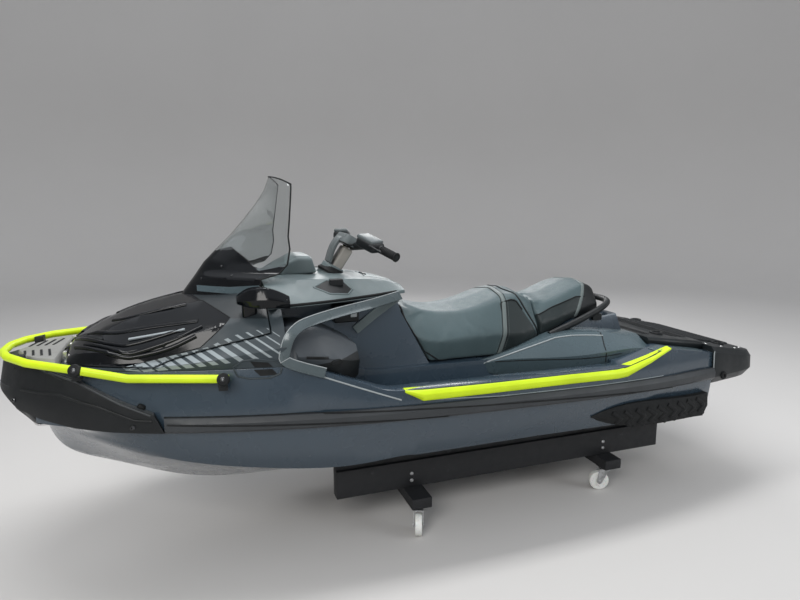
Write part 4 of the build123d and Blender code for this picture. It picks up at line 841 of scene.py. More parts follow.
def stitch_tree():
    """Row of stitches along a seam."""
    made = Growth("stitches")
    length, gap, thick = made.value("Length"), made.value("Spacing"), made.value("Thickness")
    spread = made.node("GeometryNodeResampleCurve", {"Curve": made.curve(), "Length": gap}, mode="LENGTH")
    thread = made.node("GeometryNodeMeshCylinder", {
        "Vertices": THREAD_STEPS, "Radius": thick, "Depth": length,
    })
    tangent = made.node("GeometryNodeInputTangent")
    turn = made.node("FunctionNodeAlignRotationToVector", {"Vector": tangent.outputs["Tangent"]}, axis="Z")
    rows = made.node("GeometryNodeInstanceOnPoints", {
        "Points": spread.outputs["Curve"], "Instance": thread.outputs["Mesh"],
        "Rotation": turn.outputs["Rotation"],
    })
    return made.close(rows.outputs["Instances"])


def fastener_tree():
    """A head on every point, standing on its facing."""
    made = Growth("fasteners")
    head = made.value("Head", "Object")
    size = made.value("Size")
    form = made.node("GeometryNodeObjectInfo", {"Object": head})
    turn = made.node("FunctionNodeAlignRotationToVector", {"Vector": made.facing()}, axis="Z")
    rows = made.node("GeometryNodeInstanceOnPoints", {
        "Points": made.guide, "Instance": form.outputs["Geometry"],
        "Rotation": turn.outputs["Rotation"], "Scale": size,
    })
    return made.close(rows.outputs["Instances"], False)


GROWTHS = {}


def growth(name):
    """A tree of the scene, built once."""
    if name not in GROWTHS:
        makers = {
            "bead": bead_tree, "batten": batten_tree, "tube": tube_tree,
            "stitches": stitch_tree, "fasteners": fastener_tree,
        }
        GROWTHS[name] = makers[name]()
    return GROWTHS[name]


def guide(name, strands):
    """Mesh of poly-lines, each a list of (point, facing), for a tree to follow."""
    points, edges, facings = [], [], []
    for line in strands:
        start = len(points)
        points += [place for place, _ in line]
        facings += [value for _, facing in line for value in facing]
        edges += [(start + k, start + k + 1) for k in range(len(line) - 1)]
    mesh = unlinked(name, points, [], edges)
    mesh.attributes.new("facing", "FLOAT_VECTOR", "POINT").data.foreach_set("vector", facings)
    return mesh


def grown(name, kind, strands, look, body="craft", slot=None, replaces=(), **values):
    """Plain mesh piece grown by a tree along strands."""
    host = bpy.data.objects.new(name + "_guide", guide(name, strands))
    bpy.context.scene.collection.objects.link(host)
    rule = host.modifiers.new("growth", "NODES")
    rule.node_group = growth(kind)
    items = growth(kind).interface.items_tree
    inputs = {item.name: item.identifier for item in items if item.in_out == "INPUT"}
    for key, value in {**values, "Material": finish(look)}.items():
        rule[inputs[key]] = value
    graph = bpy.context.evaluated_depsgraph_get()
    result = bpy.data.meshes.new_from_object(host.evaluated_get(graph), depsgraph=graph)
    result.name = name
    bpy.data.objects.remove(host)
    return shown(name, result, look, body, replaces)


def beads(name, strands, look, width, height, body="craft", slot=None, kind="bead", replaces=()):
    """Beads along strands, or battens by their kind; sizes in mm."""
    return grown(
        name, kind, strands, look, body, slot, replaces, Width=width * MM, Height=height * MM,
    )


# A bead or batten, laid on both sides of a surface along each of its lines. Sizes in mm.
Trim = namedtuple(
    "Trim", "name look lines width height way lift step soft kind body slot",
    defaults=("side", 0, 8, 0, "bead", "craft", None),
)


def trimmed(tree, *trims, sides=SIDES):
    """One piece for each trim, laid on a surface."""
    for t in trims:
        pairs = [(side, line) for side in sides for line in t.lines]
        strands = [strand(tree, t.way, side, line, t.lift, t.step, t.soft) for side, line in pairs]
        beads(t.name, strands, t.look, t.width, t.height, t.body, t.slot, t.kind)


def stitched(name, strands):
    """Stitches along strands."""
    size = sizes()
    grown(
        name, "stitches", strands, "thread",
        Length=size.stitch, Spacing=size.stitch_gap, Thickness=THREAD_RADIUS,
    )


HEAD_STEPS = 12
HEAD_PROFILE = [(1000, -200), (1000, 250), (800, 500), (500, 580), (420, 200), (0, 200)]


def screw_head():
    """Low dome head with a round socket, one unit in radius."""
    if "screw_head" in bpy.data.objects:
        return bpy.data.objects["screw_head"]
    shape = bmesh.new()
    turned(shape, HEAD_PROFILE, (0, 0, 0), UP, HEAD_STEPS)
    mesh = bpy.data.meshes.new("screw_head")
    shape.to_mesh(mesh)
    shape.free()
    return bpy.data.objects.new("screw_head", mesh)


def screws(name, points, look, radius, body="craft", slot=None):
    """Screw heads of a radius in mm, at points given as (place, facing)."""
    grown(
        name, "fasteners", [[p] for p in points], look, body, slot,
        Head=screw_head(), Size=radius * MM,
    )


# Stage

PITCH, YAW, ROLL = math.radians(10.09), math.radians(19.36), math.radians(-0.19)
CAMERA_PLACE = (1.083, 2.835, 1.550)
FOCAL_PIXELS, PHOTO_WIDTH, SENSOR = 599.9, 800, 36.0
FLOOR_RADIUS, FLOOR_RIM, FLOOR_HEIGHT, FLOOR_STEPS = 11.0, 3.0, 9.0, 96
WORLD_COLOUR, WORLD_STRENGTH = (0.92, 0.95, 1.0, 1), 0.75
Lamp = namedtuple("Lamp", "name place aim width height power tone", defaults=[(1, 1, 1)])
LAMPS = [
    Lamp("key", (3.4, 4.6, 3.9), (0.2, 0, 0.6), 3.2, 2.4, 190, (1.0, 0.98, 0.95)),
    Lamp("fill", (-4.4, 3.6, 2.6), (-0.4, 0, 0.6), 2.6, 2.2, 70, (0.93, 0.97, 1.0)),
    Lamp("overhead", (0.0, -0.3, 4.3), (0.0, 0, 0.8), 5.0, 0.7, 120),
    Lamp("rear", (-1.5, -4.6, 3.2), (0, 0, 0.8), 3.4, 1.2, 90),
]


def camera_turn():
    """Rotation of the camera from its fitted yaw, pitch and roll."""
    level = Vector((-math.sin(YAW), -math.cos(YAW), 0))
    right = level.cross(UP)
    forward = level * math.cos(PITCH) - Vector((0, 0, math.sin(PITCH)))
    up = right.cross(forward)
    turned_right = right * math.cos(ROLL) + up * math.sin(ROLL)
    turned_up = up * math.cos(ROLL) - right * math.sin(ROLL)
    return Matrix((turned_right, turned_up, -forward)).transposed()


def lit(lamp):
    """Soft area light aimed at a point."""
    light = bpy.data.lights.new(lamp.name, "AREA")
    light.shape = "RECTANGLE"
    light.size, light.size_y = lamp.width, lamp.height
    light.energy = lamp.power
    light.color = lamp.tone
    made = bpy.data.objects.new(lamp.name, light)
    bpy.context.scene.collection.objects.link(made)
    made.location = lamp.place
    made.rotation_euler = (Vector(lamp.aim) - Vector(lamp.place)).to_track_quat("-Z", "Y").to_euler()


def studio_floor():
    """Floor that curves up into a round wall."""
    flat = FLOOR_RADIUS - FLOOR_RIM
    bends = [math.radians(a) for a in range(10, 91, 10)]
    rows = [(0.01, 0.0), (4, 0.0), (flat, 0.0)]
    rows += [(flat + FLOOR_RIM * math.sin(a), FLOOR_RIM - FLOOR_RIM * math.cos(a)) for a in bends]
    rows.append((FLOOR_RADIUS, FLOOR_HEIGHT))
    turns = [math.tau * s / FLOOR_STEPS for s in range(FLOOR_STEPS)]
    points = [(r * math.cos(a), r * math.sin(a), z) for r, z in rows for a in turns]
    faces = []
    for row in range(len(rows) - 1):
        for s in range(FLOOR_STEPS):
            here, after = row * FLOOR_STEPS + s, row * FLOOR_STEPS + (s + 1) % FLOOR_STEPS
            faces.append((here, after, after + FLOOR_STEPS, here + FLOOR_STEPS))
    faces.append(tuple(reversed(range(FLOOR_STEPS))))
    mesh = unlinked("studio_floor", points, faces)
    mesh.shade_smooth()
    return mesh


class WATERCRAFT_OT_stage(bpy.types.Operator):
    """Set up the floor, the soft lights, the world and the camera"""

    bl_idname = "watercraft.stage"
    bl_label = "Stage"

    def execute(self, context):
        mesh = studio_floor()
        coat = Finish("studio_floor", colours().floor, roughness=0.75, specular_ior_level=0.2)
        coat.mottle(scale=0.6, amount=0.012)
        mesh.materials.append(coat.material)
        floor = bpy.data.objects.new("studio_floor", mesh)
        context.scene.collection.objects.link(floor)

        world = bpy.data.worlds.new("studio")
        context.scene.world = world
        world.use_nodes = True
        world.node_tree.nodes["Background"].inputs["Color"].default_value = WORLD_COLOUR
        world.node_tree.nodes["Background"].inputs["Strength"].default_value = WORLD_STRENGTH
        for lamp in LAMPS:
            lit(lamp)

        camera = bpy.data.cameras.new("camera")
        camera.sensor_fit = "HORIZONTAL"
        camera.sensor_width = SENSOR
        camera.lens = FOCAL_PIXELS * SENSOR / PHOTO_WIDTH
        seen = bpy.data.objects.new("camera", camera)
        context.scene.collection.objects.link(seen)
        seen.matrix_world = Matrix.Translation(CAMERA_PLACE) @ camera_turn().to_4x4()
        context.scene.camera = seen
        context.scene.view_settings.view_transform = "Standard"
        return {"FINISHED"}


# Hull and bow

def level(points, x):
    """Height of a poly-line of (x, z) pairs at x."""
    points = sorted(points)
    if x <= points[0][0]:
        return points[0][1]
    for (x0, z0), (x1, z1) in zip(points, points[1:]):
        if x <= x1:
            return z0 + (z1 - z0) * (x - x0) / (x1 - x0)
    return points[-1][1]


def recoloured(piece, looks, chooser):
    """Give each face the look that the chooser numbers from its centre in mm and its normal."""
    for name in looks:
        piece.data.materials.append(finish(name))
    for f in piece.data.polygons:
        f.material_index = chooser(f.center / MM, f.normal)


BAND_SLOPE, BAND_MIDDLE, BAND_ENDS = 0.052, 632, (1205, -1470)
BAND_LIPS = [[(x, BAND_MIDDLE + rise + BAND_SLOPE * x) for x in BAND_ENDS] for rise in (-20, 20)]
SPONSON_RIB = [(0, 500), (-55, 462), (-30, 430), (-80, 402)]
SPONSON_RIBS = [[(start + x, z) for x, z in SPONSON_RIB] for start in range(-800, -1400, -68)]
SPONSON_EDGE = 0.012


class WATERCRAFT_OT_hull(bpy.types.Operator):
    """Dress the hull, the rub bands, the sponsons and the ride plate"""

    bl_idname = "watercraft.hull"
    bl_label = "Hull"

    def execute(self, context):
        dressed("hull", "hull")
        dressed("engine_block", "black")
        dressed("rub_bands", "band")
        trimmed(
            tree_of("rub_bands"),
            Trim("band_lips", "rubber", BAND_LIPS, width=7, height=5, lift=0.5, step=40),
        )
        dressed("sponsons", "rubber", SPONSON_EDGE)
        trimmed(
            tree_of("sponsons"),
            Trim("sponson_ribs", "rubber", SPONSON_RIBS, width=22, height=12, slot="black_plastic"),
        )
        dressed("ride_plate", "cast")
        dressed("intake_grate", "cast")
        dressed("tow_eyes", "steel")
        return {"FINISHED"}


BUMPER_EDGE, BUMPER_TOP_NORMAL, BUMPER_TOP_X = 0.004, 0.3, 1280
BUMPER_CREASE = [(1748, 790), (1588, 785), (1443, 744), (1320, 693), (1258, 690)]
BUMPER_LIP = [(1830, 888), (1693, 884), (1525, 838), (1368, 758), (1262, 712)]
BUMPER_BOLTS, BUMPER_KNOB = [(1330, 666), (1780, 742)], [(1290, 735)]
BUMPER_KNOB_PROFILE = [(0, -6), (15, -6), (17, 4), (14, 14), (6, 17), (0, 17)]
KNOB_CREASE = 35


class WATERCRAFT_OT_bumper(bpy.types.Operator):
    """Add the bow bumper with its facets, end bolts and rail knobs"""

    bl_idname = "watercraft.bumper"
    bl_label = "Bow bumper"

    def execute(self, context):
        piece = dressed("bow_bumper", "black", BUMPER_EDGE)
        recoloured(piece, ("band",), lambda c, n: int(n.z > BUMPER_TOP_NORMAL and c.x > BUMPER_TOP_X))
        tree = tree_of("bow_bumper")
        trimmed(
            tree,
            Trim("bumper_crease", "black", [BUMPER_CREASE], width=12, height=8, step=12),
            Trim("bumper_lip", "band", [BUMPER_LIP], width=9, height=7, step=12),
        )
        screws("bumper_bolts", marks(tree, "side", BUMPER_BOLTS), "gun", radius=10)
        knobs = bmesh.new()
        for place, normal in marks(tree, "side", BUMPER_KNOB):
            turned(knobs, BUMPER_KNOB_PROFILE, place / MM, normal)
        modelled("bumper_knobs", knobs, "rubber", crease=KNOB_CREASE)
        return {"FINISHED"}


STRIPE_PLANE = 400
STRIPE_LOW, STRIPE_AFT = [(1352, 889), (1276, 873), (1080, 872), (900, 880), (775, 886)], 752
STRIPE_HIGH = [(1351, 898), (1171, 929), (1039, 950), (939, 989), (859, 1003), (789, 1010)]
STRIPES, STRIPE_HEAD, STRIPE_PITCH = 14, 1351, 42
STRIPE_WIDTH, STRIPE_TAPER, STRIPE_LEAN, STRIPE_TILT = 36, 2.4, 1.0, 0.025
STRIPE_GRID, STRIPE_STEP, STRIPE_FILM, STRIPE_LIFT = 5, 0.03, 0.0012, 0.8
STRIPE_ROUNDS, STRIPE_JOIN = 12, 1e-5
VENTS = [
    [(886, 906), (818, 898), (801, 880), (868, 880)],
    [(874, 872), (803, 872), (783, 848), (850, 846)],
]
VENT_RIM = [(950, 884), (900, 918), (758, 900), (778, 836), (930, 838), (950, 884)]
CAP_EDGE = 0.004
CAP_SLOTS = [[(1752 - 30 * k, 40), (1735 - 32 * k, 118 + 12 * k)] for k in range(4)]
RAIL_RADIUS, RAIL_BEND = 16, 0.06
RAIL_ROUTE = [
    (972, 550, 857), (1330, 455, 868), (1510, 388, 900), (1700, 260, 912), (1790, 150, 917), (1826, 60, 917),
]
RAIL_KNOBS = ((990, 552, 857), (1512, 392, 900))
RAIL_KNOB_TOP = 20
RAIL_KNOB_PROFILE = [(0, -6), (23, -6), (25, 8), (22, 17), (12, RAIL_KNOB_TOP), (0, RAIL_KNOB_TOP)]


Sight = namedtuple("Sight", "distance body place normal")


def sighted(side, x, z):
    """First hit of a line of sight from the camera's place through a place on the stripe plane."""
    eye = Vector((CAMERA_PLACE[0], side * CAMERA_PLACE[1], CAMERA_PLACE[2]))
    aim = Vector((x, side * STRIPE_PLANE, z)) * MM - eye
    hits = []
    for body, nodes in (("craft", ("bow_cowl", "deck")), ("hood", ("hood_lid",))):
        place, normal, _, distance = tree_of(*nodes).ray_cast(eye, aim)
        if place is not None:
            hits.append(Sight(distance, body, place, normal))
    return min(hits, key=lambda hit: hit.distance, default=None)


def stripe(k):
    """Outline of one stripe on the stripe plane: head, lean and foot."""
    lean = STRIPE_LEAN + STRIPE_TILT * k
    head = STRIPE_HEAD - STRIPE_PITCH * k
    heads, feet = [], []
    for x in (head, head - STRIPE_WIDTH + STRIPE_TAPER * k):
        top, reach = level(STRIPE_HIGH, x), x
        for _ in range(STRIPE_ROUNDS):
            reach = x - (top - level(STRIPE_LOW, reach)) * lean
        reach = max(reach, STRIPE_AFT)
        heads.append((x, top))
        feet.append((reach, top - (x - reach) / lean))
    return [*heads, *reversed(feet)]


def stripe_films():
    """Thin films of the stripes, one bmesh for each body that they lie on."""
    films = {"craft": bmesh.new(), "hood": bmesh.new()}
    for side in SIDES:
        for k in range(STRIPES):
            flat = gridded(stripe(k), STRIPE_GRID)
            seen = {v: sighted(side, v.co.x, v.co.y) for v in flat.verts}
            for f in flat.faces:
                hits = [seen[v] for v in f.verts]
                if None in hits or len({hit.body for hit in hits}) > 1:
                    continue
                if max((hit.place - hits[0].place).length for hit in hits) > STRIPE_STEP:
                    continue
                film = films[hits[0].body]
                made = film.faces.new([film.verts.new(h.place + h.normal * STRIPE_LIFT * MM) for h in hits])
                made.normal_update()
                if made.normal.dot(hits[0].normal) < 0:
                    made.normal_flip()
            flat.free()
    for film in films.values():
        bmesh.ops.remove_doubles(film, verts=film.verts, dist=STRIPE_JOIN)
    return films


class WATERCRAFT_OT_bow(bpy.types.Operator):
    """Add the cowl with its stripes and vents, the bow cap, the rail and its clamps"""

    bl_idname = "watercraft.bow"
    bl_label = "Bow"

    def execute(self, context):
        dressed("bow_cowl", "cowl")
        dressed("storage_bin", "black")
        dressed("hood_hinge", "steel")
        cowl = ("bow_cowl", "deck", "hood_lid")
        for body, film in stripe_films().items():
            name = "cowl_stripes" if body == "craft" else "lid_stripes"
            walled(placed(name, film, "stripe", body), STRIPE_FILM)
        panels("side_vents", cowl, "side", VENTS, "rubber")
        trimmed(tree_of(*cowl), Trim("vent_rims", "cowl", [VENT_RIM], width=8, height=7, soft=1))

        dressed("bow_cap", "cap", CAP_EDGE)
        trimmed(
            tree_of("bow_cap"),
            Trim(
                "cap_slots", "rubber", CAP_SLOTS,
                width=9, height=3, way="top", lift=0.5, kind="batten", slot="black_plastic",
            ),
        )

        route = [*RAIL_ROUTE, *[(x, -y, z) for x, y, z in reversed(RAIL_ROUTE)]]
        rail = [(Vector(p) * MM, UP) for p in route]
        grown(
            "bow_rail_tube", "tube", [rail], "lime_plain", replaces=("bow_rail",),
            Radius=RAIL_RADIUS * MM, Bend=RAIL_BEND,
        )
        dressed("rail_clamps", "black")
        knobs, bolts = bmesh.new(), []
        for side in SIDES:
            aim = Vector((0.25, side, 0.35)).normalized()
            for x, y, z in RAIL_KNOBS:
                place = Vector((x, side * y, z))
                turned(knobs, RAIL_KNOB_PROFILE, place, aim)
                bolts.append(((place + aim * RAIL_KNOB_TOP) * MM, aim))
        modelled("rail_knobs", knobs, "rubber", crease=KNOB_CREASE)
        screws("rail_bolts", bolts, "gun", radius=10)
        return {"FINISHED"}


# Hood

HOOD_SIDE = [(1363, 884), (1066, 951), (943, 1054)]
HOOD_PLAN, HOOD_MIDDLE = [(60, 1082), (170, 1052), (349, 943)], (0, 1090)
LID_TONE_Z, LID_EDGE = 1052, 0.002
RIDGES = [
    [(1550, 72, 950), (1450, 226, 967), (1379, 286, 963), (1330, 315, 961), (1130, 327, 1014)],
    [
        (1500, 200, 950), (1436, 261, 957), (1348, 339, 937),
        (1313, 350, 935), (1158, 371, 982), (1053, 351, 1025),
    ],
    [
        (1540, 173, 939), (1445, 287, 944), (1348, 344, 923),
        (1314, 354, 922), (1182, 376, 948), (1078, 382, 996),
    ],
]
FOLDS = [
    [
        (1560, 40, 985), (1453, 160, 991), (1379, 219, 996),
        (1318, 236, 1008), (1194, 268, 1026), (1067, 309, 1041),
    ],
    [(1110, 180, 1092), (1339, 150, 1034), (1400, 80, 1020)],
]
LIGHT_STRIP = [(1331, 283, 978), (1220, 310, 996), (1118, 336, 1013)]
SLATS = [[(1560 - 6 * k, 20, 938 - 14 * k), (1430 - 6 * k, 215, 965 - 17 * k)] for k in range(3)]
MIRROR_EDGE, MIRROR_GRID = 0.005, 20
MIRROR = [(418, 1098), (444, 1102), (444, 1130), (422, 1134)]


def lid_tone(centre, normal):
    """Number of a lid face's finish: the black nose, the rear part or the sides."""
    fore = centre.z > level(HOOD_SIDE, centre.x) or centre.x > HOOD_SIDE[0][0]
    if fore and centre.x > level(HOOD_PLAN, abs(centre.y)):
        return 0
    return 1 if centre.z > LID_TONE_Z else 2


class WATERCRAFT_OT_hood(bpy.types.Operator):
    """Add the hood lid with its black nose, gills, lights and nose slats"""

    bl_idname = "watercraft.hood"
    bl_label = "Hood"

    def execute(self, context):
        shape = merged("hood_lid")
        cut_along(shape, HOOD_SIDE)
        for (y0, x0), (y1, x1) in zip(HOOD_PLAN, HOOD_PLAN[1:]):
            for side in SIDES:
                cut(shape, (x0, side * y0, 0), (side * (y1 - y0), x0 - x1, 0))
        cut(shape, (0, 0, LID_TONE_Z), UP)
        lid = modelled("hood_lid_form", shape, None, "hood", FORM_CREASE, ("hood_lid",))
        recoloured(lid, ("gloss_black", "lid", "cowl"), lid_tone)
        rounded_edges(lid, LID_EDGE, segments=2, crease=FORM_CREASE)

        tree = tree_of("hood_lid")
        joints = []
        for side in SIDES:
            joints.append(strand(tree, "side", side, HOOD_SIDE))
            joints.append(strand(tree, "top", side, [(x, y) for y, x in [HOOD_MIDDLE, *HOOD_PLAN]]))
        beads("hood_joint", joints, "rubber", width=4, height=3, body="hood")
        trimmed(
            tree,
            Trim(
                "hood_gills", "gloss_black", RIDGES,
                width=20, height=16, way="near", lift=0, step=10, soft=2, body="hood",
            ),
            Trim(
                "hood_folds", "gloss_black", FOLDS,
                width=26, height=12, way="near", lift=0, step=12, soft=2, body="hood",
            ),
            Trim(
                "light_strips", "lamp_glass", [LIGHT_STRIP],
                width=9, height=6, way="near", lift=4, kind="batten", body="hood",
            ),
            Trim(
                "nose_slats", "black", SLATS,
                width=7, height=8, way="near", lift=1, step=10, kind="batten", body="hood",
            ),
        )

        dressed("mirrors", "gloss_black", MIRROR_EDGE)
        tree = tree_of("mirrors")
        glass = bmesh.new()
        for side in SIDES:
            inlay(glass, tree, "back", 1, [(side * y, z) for y, z in MIRROR], grid=MIRROR_GRID)
        modelled("mirror_glass", glass, "mirror", "hood")
        return {"FINISHED"}


# Windshield

ScreenRow = namedtuple("ScreenRow", "z nose_x tail_x half_y")
SCREEN_ROWS = [
    ScreenRow(1100, 1136, 806, 276), ScreenRow(1192, 1066, 806, 270), ScreenRow(1213, 1051, 727, 268),
    ScreenRow(1250, 1024, 690, 264), ScreenRow(1316, 958, 676, 255), ScreenRow(1369, 902, 680, 246),
    ScreenRow(1436, 843, 671, 234), ScreenRow(1508, 784, 662, 219), ScreenRow(1567, 745, 655, 205),
    ScreenRow(1600, 732, 653, 196), ScreenRow(1626, 722, 652, 190),
]
SCREEN_POWER, SCREEN_STEPS, SCREEN_SLICES = 1.3, 24, 4
SCREEN_SHEET, SCREEN_CREASE = 0.0035, 60
MASK_TOP = [(726, 1240), (805, 1222), (898, 1308), (960, 1300), (1136, 1300)]
CROWN_DROP, CROWN_LOW = 36, 1.585
EDGE_LOW, TAIL_FORE, TAIL_OUT = 1.15, 0.82, 0.1
FOOT_LIFT, FOOT_WALL = 2.0, 1.0
FOOT_LOW = [(1060, 1128), (930, 1126), (812, 1140)]
FOOT_HIGH = [(1060, 1152), (930, 1154), (812, 1168)]
SCREEN_SPOTS = [(954, 1235), (917, 1201), (1040, 1180)]


def screen_point(row, share):
    """Point of the screen on one row, share running from -1 at port to 1 at starboard."""
    reach = (row.nose_x - row.tail_x) * (1 - abs(share) ** SCREEN_POWER)
    return Vector((row.tail_x + reach, row.half_y * share, row.z)) * MM


def screen_rows():
    """Rows of the screen with finer ones between them."""
    rows = []
    for low, high in zip(SCREEN_ROWS, SCREEN_ROWS[1:]):
        for k in range(SCREEN_SLICES):
            rows.append(ScreenRow(*[p + (q - p) * k / SCREEN_SLICES for p, q in zip(low, high)]))
    return [*rows, SCREEN_ROWS[-1]]


def free_edges(shape):
    """Both tails of the screen and its crown, as strands."""
    sharp = [e for e in shape.edges if e.is_boundary and min(v.co.z for v in e.verts) > EDGE_LOW]
    loose = {v for e in sharp for v in e.verts}
    runs = []
    for side in SIDES:
        tail = [v for v in loose if side * v.co.y > TAIL_OUT and v.co.x < TAIL_FORE]
        runs.append([(v.co.copy(), Vector((0.3, side, 0))) for v in sorted(tail, key=lambda v: v.co.z)])
    crown = sorted((v for v in loose if v.co.z > CROWN_LOW), key=lambda v: v.co.y)
    return [*runs, [(v.co.copy(), Vector((0.6, 0, 0.8))) for v in crown]]


class WATERCRAFT_OT_windshield(bpy.types.Operator):
    """Add the smoked screen with its black foot, edge band and screws"""

    bl_idname = "watercraft.windshield"
    bl_label = "Windshield"

    def execute(self, context):
        turns = [math.pi / 2 * k / SCREEN_STEPS for k in range(-SCREEN_STEPS, SCREEN_STEPS + 1)]
        shape = bmesh.new()
        grid = [[shape.verts.new(screen_point(row, math.sin(a))) for a in turns] for row in screen_rows()]
        for below, above in zip(grid, grid[1:]):
            for k in range(len(turns) - 1):
                shape.faces.new((below[k], below[k + 1], above[k + 1], above[k]))
        cut_along(shape, MASK_TOP[:-1])
        top = SCREEN_ROWS[-1]
        for v in [v for v in shape.verts if v.co.z > (top.z - CROWN_DROP) * MM]:
            drop = CROWN_DROP * (v.co.y / (top.half_y * MM)) ** 2
            share = (v.co.z / MM - top.z + CROWN_DROP) / CROWN_DROP
            v.co.z -= drop * share * MM
        creased(shape, SCREEN_CREASE)
        edges = free_edges(shape)
        replaced = ("windshield", "windshield_mask")
        sheet = placed("screen_sheet", shape, None, "hood", replaced)
        recoloured(sheet, ("screen", "gloss_black"), lambda c, n: int(c.z < level(MASK_TOP, c.x)))
        walled(sheet, SCREEN_SHEET)
        beads("screen_edge", edges, "rubber", width=7, height=5, body="hood")

        outer = tree_over(sheet)
        foot = bmesh.new()
        for side in SIDES:
            inlay(foot, outer, "side", side, [*FOOT_LOW, *reversed(FOOT_HIGH)], FOOT_LIFT, FOOT_WALL)
        modelled("screen_foot", foot, "deck", "hood")
        screws("screen_screws", marks(outer, "side", SCREEN_SPOTS), "gun", radius=6, body="hood")
        return {"FINISHED"}


# Console and steering

RECESS = [(585, 1150), (518, 1121), (433, 1112), (406, 1128), (440, 1160), (520, 1172)]
CONSOLE_FOOT = [(713, 1094), (500, 1094), (300, 1096), (180, 1098)]
CONSOLE_EDGE, CONSOLE_LATCH_EDGE = 0.004, 0.005
CONSOLE_LATCH = ((446, 232, 1146), (506, 268, 1176))
GAUGE_SIDE = [(790, 1176), (700, 1232), (618, 1272), (556, 1268), (532, 1190)]
GAUGE_HALF, GAUGE_FOOT, GAUGE_SECTIONS = 118, 1180, ((-1, 0.86), (-0.8, 1), (0.8, 1), (1, 0.86))
GAUGE_EDGE, GAUGE_HOOD_EDGE, GAUGE_HOOD_ANGLE, GAUGE_HOOD_CREASE = 0.003, 0.012, 25, 45
GLOVEBOX_EDGE, GLOVEBOX_PULL = 0.003, [(284, -40), (284, 40)]


class WATERCRAFT_OT_console(bpy.types.Operator):
    """Add the console with its gasket, vents and latch, the gauge and the glovebox lid"""

    bl_idname = "watercraft.console"
    bl_label = "Console"

    def execute(self, context):
        dressed("console", "console", CONSOLE_EDGE)
        tree = tree_of("console")
        trimmed(tree, Trim("console_gasket", "rubber", [CONSOLE_FOOT], width=12, height=9, lift=0.5, step=12))
        panels("console_recess", ("console",), "side", [RECESS], "black", lift=0.8)
        trimmed(tree, Trim("console_rims", "console", [[*RECESS, RECESS[0]]], width=9, height=7))
        rounded_edges(placed("console_latches", pair_of_blocks(*CONSOLE_LATCH), "black"), CONSOLE_LATCH_EDGE)

        dressed("gauge", "gloss_black", GAUGE_EDGE)
        hump = bmesh.new()
        rings = []
        for share, scale in GAUGE_SECTIONS:
            points = [(x, share * GAUGE_HALF, GAUGE_FOOT + (z - GAUGE_FOOT) * scale) for x, z in GAUGE_SIDE]
            rings.append([hump.verts.new(Vector(p) * MM) for p in points])
        skinned(hump, rings)
        piece = modelled("gauge_hood", hump, "console")
        rounded_edges(piece, GAUGE_HOOD_EDGE, GAUGE_HOOD_ANGLE, ROUND_SEGMENTS, GAUGE_HOOD_CREASE)
        dressed("glovebox_lid", "console", GLOVEBOX_EDGE)
        trimmed(
            tree_of("glovebox_lid"),
            Trim(
                "glovebox_pull", "black", [GLOVEBOX_PULL],
                width=14, height=6, way="top", lift=1, kind="batten", body="glovebox",
            ),
            sides=(1,),
        )
        return {"FINISHED"}


BLOCK_CREASE, BAR_CREASE = 50, 50
NECK_MIDDLE, NECK_SIZE, NECK_TILT, NECK_EDGE = (395, 0, 1238), (52, 92, 125), math.radians(-34), 0.010
BOOT_FOOT, BOOT_AXIS, BOOT_STEPS = (448, 0, 1168), (-0.5, 0, 0.866), 32
BOOT_PROFILE = [(0, 0), (66, 0), (68, 10), (58, 22), (56, 34), (46, 44), (0, 44)]
BAR_GRIPS = ((240, 395, 1276), (306, 250, 1322))
BAR_SLEEVE = ((346, 55, 1301), (306, 250, 1322), (285, 296, 1308))
SLEEVE_RADIUS, SLEEVE_BEND = 0.019, 0.05
GRIP_EDGE, LEVER_EDGE, PAD_EDGE = 0.002, 0.001, 0.014
GRIP_RINGS, RING_START, RING_PITCH, RING_RADIUS, RING_STEPS = 9, 14, 9, 17, 16
POD, POD_TOP, POD_TOP_LIFT, POD_REACH = (122, 78, 46), (112, 70, 20), 24, 160
POD_SHIFT, POD_EDGE, POD_TOP_EDGE = (14, 0, 4), 0.016, 0.009
SHROUD = [(352, 0, 1352), (398, 0, 1342), (432, 0, 1300), (456, 0, 1226)]
SHROUD_FACING, SHROUD_EDGE = (0.7, 0, 0.7), 0.005
PAD_RIM_X, PAD_RIM_Z, PAD_RIM_ALONG, PAD_RIM_ACROSS, PAD_RIM_STEPS = 363, 1318, 60, 130, 40
ROUND_SEGMENTS = 4


